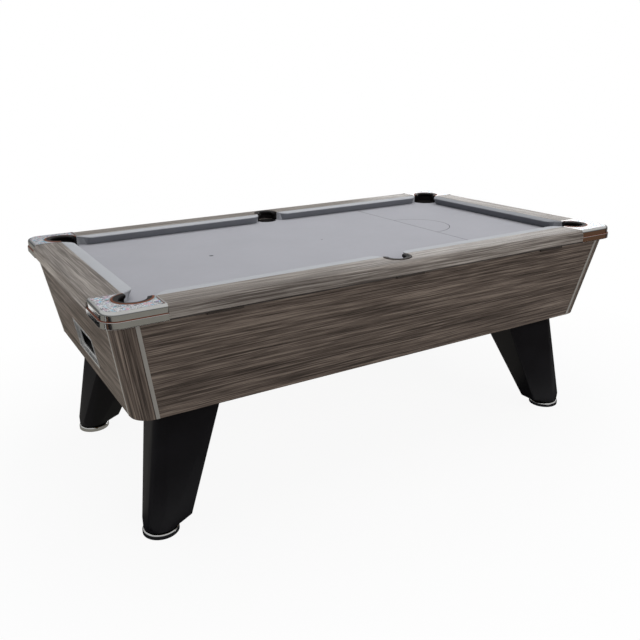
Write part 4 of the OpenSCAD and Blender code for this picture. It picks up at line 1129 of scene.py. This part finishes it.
@dataclass
class PocketLiners:
    """The moulded lips and tubes of the six pockets."""

    corner: Pair = (945.5 * MM, 488.0 * MM)
    corner_r: float = 63.7 * MM
    corner_low: float = 799.0 * MM
    corner_top: float = 840.4 * MM
    wall: float = 9.0 * MM
    back_y: float = 501.0 * MM
    gap: float = 0.3 * MM
    overhang: float = 12.5 * MM
    corner_tube_top: float = 799.5 * MM
    tube_low: float = 775.0 * MM
    funnel_low: float = 737.0 * MM
    throat: float = 31.0 * MM
    rim: Pair = (0.0, 520.0 * MM)
    rim_r: float = 52.7 * MM
    rim_low: float = 803.2 * MM
    rim_top: float = 840.2 * MM
    drop: Pair = (0.0, 508.0 * MM)
    drop_r: float = 44.0 * MM
    drop_wall: float = 4.0 * MM
    drop_top: float = 802.0 * MM
    corner_turns: int = 73
    middle_turns: int = 61
    tube_turns: int = 96

    def roll_section(self, outer: float, low: float, high: float) -> np.ndarray:
        """A lip's section: an upright wall under a roll that hangs over the pocket.

        Args:
            outer: the wall's outer radius.
            low: its bottom's height.
            high: its top's height.

        Returns:
            Points as radius and height.
        """
        inner, tip = outer - self.wall, outer - self.wall - self.overhang
        corners = [
            (outer, low, 0.4),
            (outer, high, 2.5),
            (inner + 1.5 * MM, high - 0.2 * MM, 6.0),
            (tip, high - 2.2 * MM, 3.0),
            (tip, high - 9.0 * MM, 3.0),
            (inner, high - 19.0 * MM, 3.0),
            (inner, low, 0.4),
        ]
        return rounded_loop([(r, z, bend * MM) for r, z, bend in corners])

    @staticmethod
    def turned(centre: Pair, section: np.ndarray, angles: np.ndarray, full: bool = False) -> Part:
        """Turns a closed section about an upright line.

        Args:
            centre: the line's X and Y.
            section: the section's radius and height.
            angles: the angles in degrees.
            full: whether the last copy joins the first. Both have a cap otherwise.

        Returns:
            Points and faces. A point is centre + radius times (cos a, sin a), at its height.
        """
        a = np.radians(angles)
        r, z = section.T
        x, y = centre[0] + np.outer(np.cos(a), r), centre[1] + np.outer(np.sin(a), r)
        points = np.stack([x, y, np.broadcast_to(z, x.shape)], axis=-1).reshape(-1, 3)
        faces = grid_faces(len(a), len(r), wrap_rows=full, wrap_columns=True).tolist()
        cap = np.arange(len(r))
        caps = [] if full else [cap.tolist(), (cap + len(points) - len(r))[::-1].tolist()]
        return points, faces + caps

    def tube(self, centre: Pair, outer: float, wall: float, high: float) -> Part:
        """A tube with its funnel below, as one closed skin.

        Args:
            centre: its centre's X and Y.
            outer: its outer radius.
            wall: how thick it is.
            high: its top's height.

        Returns:
            Points and faces.
        """
        section = [
            (outer, self.tube_low),
            (self.throat + wall, self.funnel_low),
            (self.throat, self.funnel_low),
            (outer - wall, self.tube_low),
            (outer - wall, high),
            (outer, high),
        ]
        angles = np.linspace(0, 360, self.tube_turns + 1)[:-1]
        return self.turned(centre, np.array(section), angles, full=True)

    def make(self, dresser: Dresser) -> None:
        """All six liners as two pieces, one for the corners and one for the middle pockets.

        Args:
            dresser: takes the pieces.
        """
        jaw = math.degrees(math.acos((self.back_y - self.corner[1]) / (self.corner_r + self.gap)))
        lip = self.roll_section(self.corner_r, self.corner_low, self.corner_top)
        corner = [
            self.turned(self.corner, lip, np.linspace(-jaw, 90 + jaw, self.corner_turns)),
            self.tube(self.corner, self.corner_r, self.wall, self.corner_tube_top),
        ]
        self._copies(dresser, corner, "corner", (-1, 1))
        span = math.degrees(math.asin((self.back_y - self.rim[1]) / self.rim_r))
        rim = self.roll_section(self.rim_r, self.rim_low, self.rim_top)
        middle = [
            self.turned(self.rim, rim, np.linspace(span, 180 - span, self.middle_turns)),
            self.tube(self.drop, self.drop_r, self.drop_wall, self.drop_top),
        ]
        self._copies(dresser, middle, "middle", (1,))

    def _copies(self, dresser: Dresser, parts: Sequence[Part], kind: str, x_sides: Sequence[int]) -> None:
        """Puts a liner on both sides of the table.

        Args:
            dresser: takes the piece.
            parts: the liner at +X +Y.
            kind: "corner" or "middle".
            x_sides: the ends that it is put at, as signs.
        """
        copies = joined(
            (mirror_points(points, x_side, y_side), [ring[:: x_side * y_side] for ring in rings])
            for x_side in x_sides
            for y_side in (-1, 1)
            for points, rings in parts
        )
        obj = build_mesh(f"{kind}_pocket_lips", *copies)
        dresser.adopt(obj, "top", f"{kind}_liner", [f"{kind}_pocket_liners"])


@dataclass
class Legs:
    """Four lacquered legs, each the hull of a head, a waist, an ankle and a round sole."""

    head: Pair = (901.0 * MM, 464.0 * MM)
    head_size: Pair = (243.0 * MM, 215.0 * MM)
    head_r: Pair = (8.0 * MM, 34.0 * MM)
    foot: Pair = (978.0 * MM, 489.0 * MM)
    foot_size: Pair = (162.0 * MM, 88.0 * MM)
    waist_r: Pair = (12.0 * MM, 15.0 * MM)
    sole: Pair = (920.0 * MM, 446.0 * MM)
    sole_r: float = 58.0 * MM
    ankle_in: Pair = (4.0 * MM, 2.0 * MM)
    ankle_r: float = 57.0 * MM
    high: float = 452.0 * MM
    waist: float = 46.0 * MM
    ankle: float = 49.0 * MM
    low: float = 24.0 * MM
    turns: int = 128
    first_turn: float = 0.003
    shin_rows: int = 14
    heel_rows: int = 5
    crease: float = math.radians(24)

    def square(self, inner: np.ndarray, outer: np.ndarray, radii: Pair) -> list[Triple]:
        """Discs at four corners: a small one at three of them and a broad one at the outer corner."""
        (x0, y0), (x1, y1), (small, broad) = inner + radii[0], outer - radii[1], radii
        return [(x0, y0, small), (x1, y0, small), (x0, y1, small), (x1, y1, broad)]

    def levels(self) -> list[tuple[float, list[Triple]]]:
        """The leg's outline at the head, the ankle, the waist and the sole.

        Returns:
            Heights, and discs as X, Y and radius. Their common hull is the outline.
        """
        head, foot = np.array(self.head), np.array(self.foot)
        waist = head + (foot - head) * (self.high - self.waist) / (self.high - self.low)
        x, y = self.sole
        return [
            (self.high, self.square(head - self.head_size, head, self.head_r)),
            (self.ankle, [(x - self.ankle_in[0], y - self.ankle_in[1], self.ankle_r)]),
            (self.waist, self.square(foot - self.foot_size, waist, self.waist_r)),
            (self.low, [(x, y, self.sole_r)]),
        ]

    @staticmethod
    def reach(discs: list[Triple], normal: np.ndarray) -> tuple[np.ndarray, np.ndarray]:
        """The furthest point of a level in each direction.

        Args:
            discs: the level's discs.
            normal: unit directions.

        Returns:
            How far it lies along each direction, and the point: centre + radius times the direction,
            of the disc for which centre . direction + radius is greatest.
        """
        centre, radius = np.split(np.array(discs), [2], axis=1)
        far = normal @ centre.T + radius.T
        best = far.argmax(axis=1)
        return far.max(axis=1), centre[best] + radius[best] * normal

    def loft(self) -> Part:
        """The hull of the levels as rows of points.

        Returns:
            Points and faces. At a height the point in a direction is the best of all pairs of levels
            above and below it, each pair giving (1 - t) times the upper's furthest point plus t times
            the lower's, where t is the share of the way down from one to the other.
        """
        a = np.linspace(0, 2 * np.pi, self.turns + 1)[:-1] + self.first_turn
        normal = np.stack([np.cos(a), np.sin(a)], axis=1)
        levels = [(z, *self.reach(discs, normal)) for z, discs in self.levels()]
        shin = np.linspace(self.high, self.ankle, self.shin_rows)
        heel = np.linspace(self.waist, self.low, self.heel_rows)
        rows = []
        for z in np.concatenate([shin, heel]):
            far = np.full(self.turns, -np.inf)
            row = np.zeros((self.turns, 2))
            pairs = [(up, down) for up in levels for down in levels if down[0] <= z <= up[0]]
            for up, down in pairs:
                t = 0.0 if up[0] == down[0] else (up[0] - z) / (up[0] - down[0])
                reach = (1 - t) * up[1] + t * down[1]
                better = reach > far
                far = np.where(better, reach, far)
                row = np.where(better[:, None], (1 - t) * up[2] + t * down[2], row)
            rows.append(np.column_stack([row, np.full(self.turns, z)]))
        faces = grid_faces(len(rows), self.turns, wrap_columns=True).tolist()
        cap = list(range(self.turns))
        return np.concatenate(rows), faces + [cap, [i + (len(rows) - 1) * self.turns for i in cap][::-1]]

    def make(self, dresser: Dresser) -> None:
        """Makes the loft once and mirrors it to the four corners."""
        loft, faces = self.loft()
        for name, x_side, y_side in QUARTERS:
            points, rings = weld(mirror_points(loft, x_side, y_side), faces)
            obj = build_mesh(f"leg_{name}_lacquered", points, rings, turn=True)
            obj.data.set_sharp_from_angle(angle=self.crease)
            dresser.adopt(obj, "cabinet", "leg", [f"leg_{name}"])


@dataclass
class Joinery:
    """The CAD nodes that keep their shape and get a finish, by finish."""

    groups: dict[str, Sequence[str]] = field(
        default_factory=lambda: {
            "slate": ["slate"],
            "rail_x": ["top_rail_near", "top_rail_far"],
            "rail_y": ["top_rail_return_end", "top_rail_baulk_end"],
            "casting": [f"casting_{name}" for name, _, _ in QUARTERS],
            "inlay": ["casting_inlays"],
            "plywood": ["top_frame", "bottom_board", "cross_dividers", "run_cleats", "cash_partition"]
            + ["ball_run_near", "ball_run_far"],
            # Black inside, partly as painted shade for what shows through the window.
            "tray": ["return_tray", "storage_gully", "collector_trough"],
            "steel": ["rail_bolts", "lock_keeps", "cash_box", "leg_bolts", "stay_bracket", "prop_stay"]
            + ["ball_gate"],
            "hinge": ["hinge_top_leaves", "hinge_body_leaves"],
            "panel_x": ["side_panel_near", "side_panel_far"],
            "panel_y": ["end_panel_return", "end_panel_baulk"],
            "post": ["corner_posts"],
            "edging": ["edging_strips"],
            "frame": ["return_frame"],
            "plate": ["coin_mech_plate", "cash_door"],
            "chrome": ["lock_barrels", "coin_slide", "cash_lock", "top_lock_left", "top_lock_right"]
            + [f"foot_{name}" for name, _, _ in QUARTERS],
        }
    )

    def dress(self, dresser: Dresser) -> None:
        """Finishes every node in its group."""
        for finish, names in self.groups.items():
            for name in names:
                dresser.node(name, finish)


# The view


@dataclass(frozen=True)
class Lamp:
    """An area lamp aimed at a point, that either lights what is matt or shows in what shines."""

    name: str
    place: Triple
    target: Triple
    size: Pair
    power: float
    glossy: bool = False

    def make(self) -> None:
        """Puts the lamp in the scene, unseen by the camera."""
        data = bpy.data.lights.new(self.name, "AREA")
        data.shape = "RECTANGLE"
        data.size, data.size_y = self.size
        data.energy = self.power
        lamp = bpy.data.objects.new(self.name, data)
        lamp.location = self.place
        lamp.visible_glossy = self.glossy
        lamp.visible_diffuse = not self.glossy
        lamp.visible_camera = False
        lamp.rotation_mode = "QUATERNION"
        lamp.rotation_quaternion = (Vector(self.target) - Vector(self.place)).to_track_quat("-Z", "Y")
        bpy.context.scene.collection.objects.link(lamp)


BROWN = (0.115, 0.062, 0.038)
BLACK = (0.012, 0.012, 0.013)
BRIGHT = (0.95, 0.95, 0.95)
WHITE = (1.0, 1.0, 1.0)


@dataclass
class Studio:
    """The pale room, its lamps and the camera.

    The bands are strips of the floor from one Y to another, as a mirror finds them.
    """

    eye: Triple = (-1.4827, -2.4718, 1.4461)
    yaw: float = -30.7
    pitch: float = -19.1
    roll: float = -0.9
    focal_px: float = 703.3
    frame_px: float = 640.0
    sensor: float = 36.0
    clip_end: float = 60.0
    lamps: tuple[Lamp, ...] = (
        Lamp("overhead", (0.5, 0.25, 3.4), (0.5, 0.15, 0.8), (4.4, 3.2), 76.0),
        Lamp("front", (0.8, -3.8, 2.4), (0.3, -0.6, 0.8), (4.0, 1.6), 46.0),
        Lamp("end", (-3.3, 0.5, 0.44), (-1.0, 0.1, 0.62), (2.6, 0.7), 30.0),
        Lamp("sheen", (3.25, 2.17, 1.7), (0.6, -0.56, 0.84), (2.6, 0.9), 17.0, glossy=True),
    )
    floor_half: float = 14.0
    floor_grey: float = 0.40
    floor_pale: float = 0.90
    shadow_reach: Pair = (1.3, 2.4)
    shadow_oval: float = 1.6
    shadow_share: float = 0.08
    shade: Colour = (0.24, 0.232, 0.21)
    brown_x: Pair = (1.6, 2.6)
    brown_y: float = -1.0
    bands: tuple[tuple[float, float, Colour], ...] = (
        (-2.2, -0.3, BLACK),
        (-0.68, -0.56, BRIGHT),
        (-1.3, -1.0, BROWN),
        (1.25, 2.1, BLACK),
        (2.1, 2.45, BRIGHT),
    )
    ambient: float = 0.27
    ambient_colour: Colour = (0.95, 0.97, 1.0)
    climb: Pair = (0.10, 0.42)
    low_sky: float = 0.10
    low_colour: Colour = (0.9, 0.95, 1.0)
    high_sky: float = 0.62

    def camera(self) -> None:
        """A camera that looks down, turned by roll, pitch and yaw, its length worked out from pixels."""
        yaw, pitch, roll = (math.radians(a) for a in (self.yaw, self.pitch, self.roll))
        data = bpy.data.cameras.new("view")
        data.sensor_width = self.sensor
        data.lens = self.focal_px * self.sensor / self.frame_px
        data.clip_end = self.clip_end
        camera = bpy.data.objects.new("view", data)
        placed = Matrix.Translation(self.eye)
        for angle, axis in ((yaw, "Z"), (math.pi / 2 + pitch, "X"), (roll, "Z")):
            placed = placed @ Matrix.Rotation(angle, 4, axis)
        camera.matrix_world = placed
        bpy.context.scene.collection.objects.link(camera)
        bpy.context.scene.camera = camera

    def floor(self) -> None:
        """A pale floor that keeps the shadow near the table and is white further off.

        To the camera it is mostly its own light, all of it beyond a few metres. A lamp's bounce
        finds it grey. A mirror finds it dim, with a brown patch on one side and dark and white
        bands in front of and behind the table, so that the chrome has something to show.
        """
        corners = np.array([[-1, -1, 0], [1, -1, 0], [1, 1, 0], [-1, 1, 0]]) * self.floor_half
        floor = build_mesh("floor", corners, [(0, 1, 2, 3)], smooth=False)
        g = Graph("floor_white")
        camera = g.ray("Is Camera Ray")
        grey = g.mix(camera, [self.floor_grey] * 3, [self.floor_pale] * 3)
        g.surface(Base_Color=grey, Roughness=0.9, Specular_IOR_Level=0.0)
        away = (g.x * g.x + g.y * g.y * self.shadow_oval).root()
        own = camera * (away.ramp(*self.shadow_reach) * self.shadow_share + (1 - self.shadow_share))
        lit = g.blend(own, g.shader, self._glow(g, WHITE))
        brown = g.x.ramp(*self.brown_x) * (g.y < self.brown_y)
        mirror = g.blend(brown, self._glow(g, self.shade), self._glow(g, BROWN))
        for low, high, colour in self.bands:
            mirror = g.blend((g.y > low) * (g.y < high), mirror, self._glow(g, colour))
        both = g.blend(g.ray("Is Glossy Ray"), lit, mirror)
        g.feed(g.output.inputs[0], both.outputs[0])
        floor.data.materials.append(g.material)
        floor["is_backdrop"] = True

    @staticmethod
    def _glow(g: Graph, colour: Colour) -> bpy.types.Node:
        """A steady light of one colour."""
        return g.node("ShaderNodeEmission", {"Color": colour, "Strength": 1.0})

    def room(self) -> None:
        """A world that is white to the camera, plain to the table and, in a mirror, brighter higher up."""
        world = bpy.data.worlds.new("room")
        bpy.context.scene.world = world
        world.use_nodes = True
        g = Nodes(world.node_tree)
        low, high, plain, white = (
            g.node("ShaderNodeBackground", {"Color": colour, "Strength": strength})
            for colour, strength in (
                (self.low_colour, self.low_sky),
                (WHITE, self.high_sky),
                (self.ambient_colour, self.ambient),
                (WHITE, 1.0),
            )
        )
        mirror = g.blend(g.z.ramp(*self.climb), low, high)
        soft = g.blend(g.ray("Is Glossy Ray"), plain, mirror)
        seen = g.blend(g.ray("Is Camera Ray"), soft, white)
        g.node("ShaderNodeOutputWorld", {0: seen.outputs[0]})

    def make(self) -> None:
        """The floor, the world, the lamps and the camera."""
        self.floor()
        self.room()
        for lamp in self.lamps:
            lamp.make()
        self.camera()


def corners(box: tuple[Vector, Vector]) -> list[list[float]]:
    """A box as plain lists of numbers."""
    return [[float(v) for v in corner] for corner in box]


def main() -> None:
    """Builds and dresses the table in order."""
    logging.basicConfig(level=logging.INFO, format="%(message)s")
    cad = corners(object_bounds())
    scene = bpy.context.scene
    scene.view_settings.view_transform = "Standard"
    dresser = Dresser(Finishes())
    Joinery().dress(dresser)
    playing_field = PlayingField()
    playing_field.make_cloth(dresser)
    playing_field.make_cushions(dresser)
    PocketLiners().make(dresser)
    Legs().make(dresser)
    Studio().make()
    {"cad": cad, "visual": corners(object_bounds())}


if __name__ == "__main__":
    main()
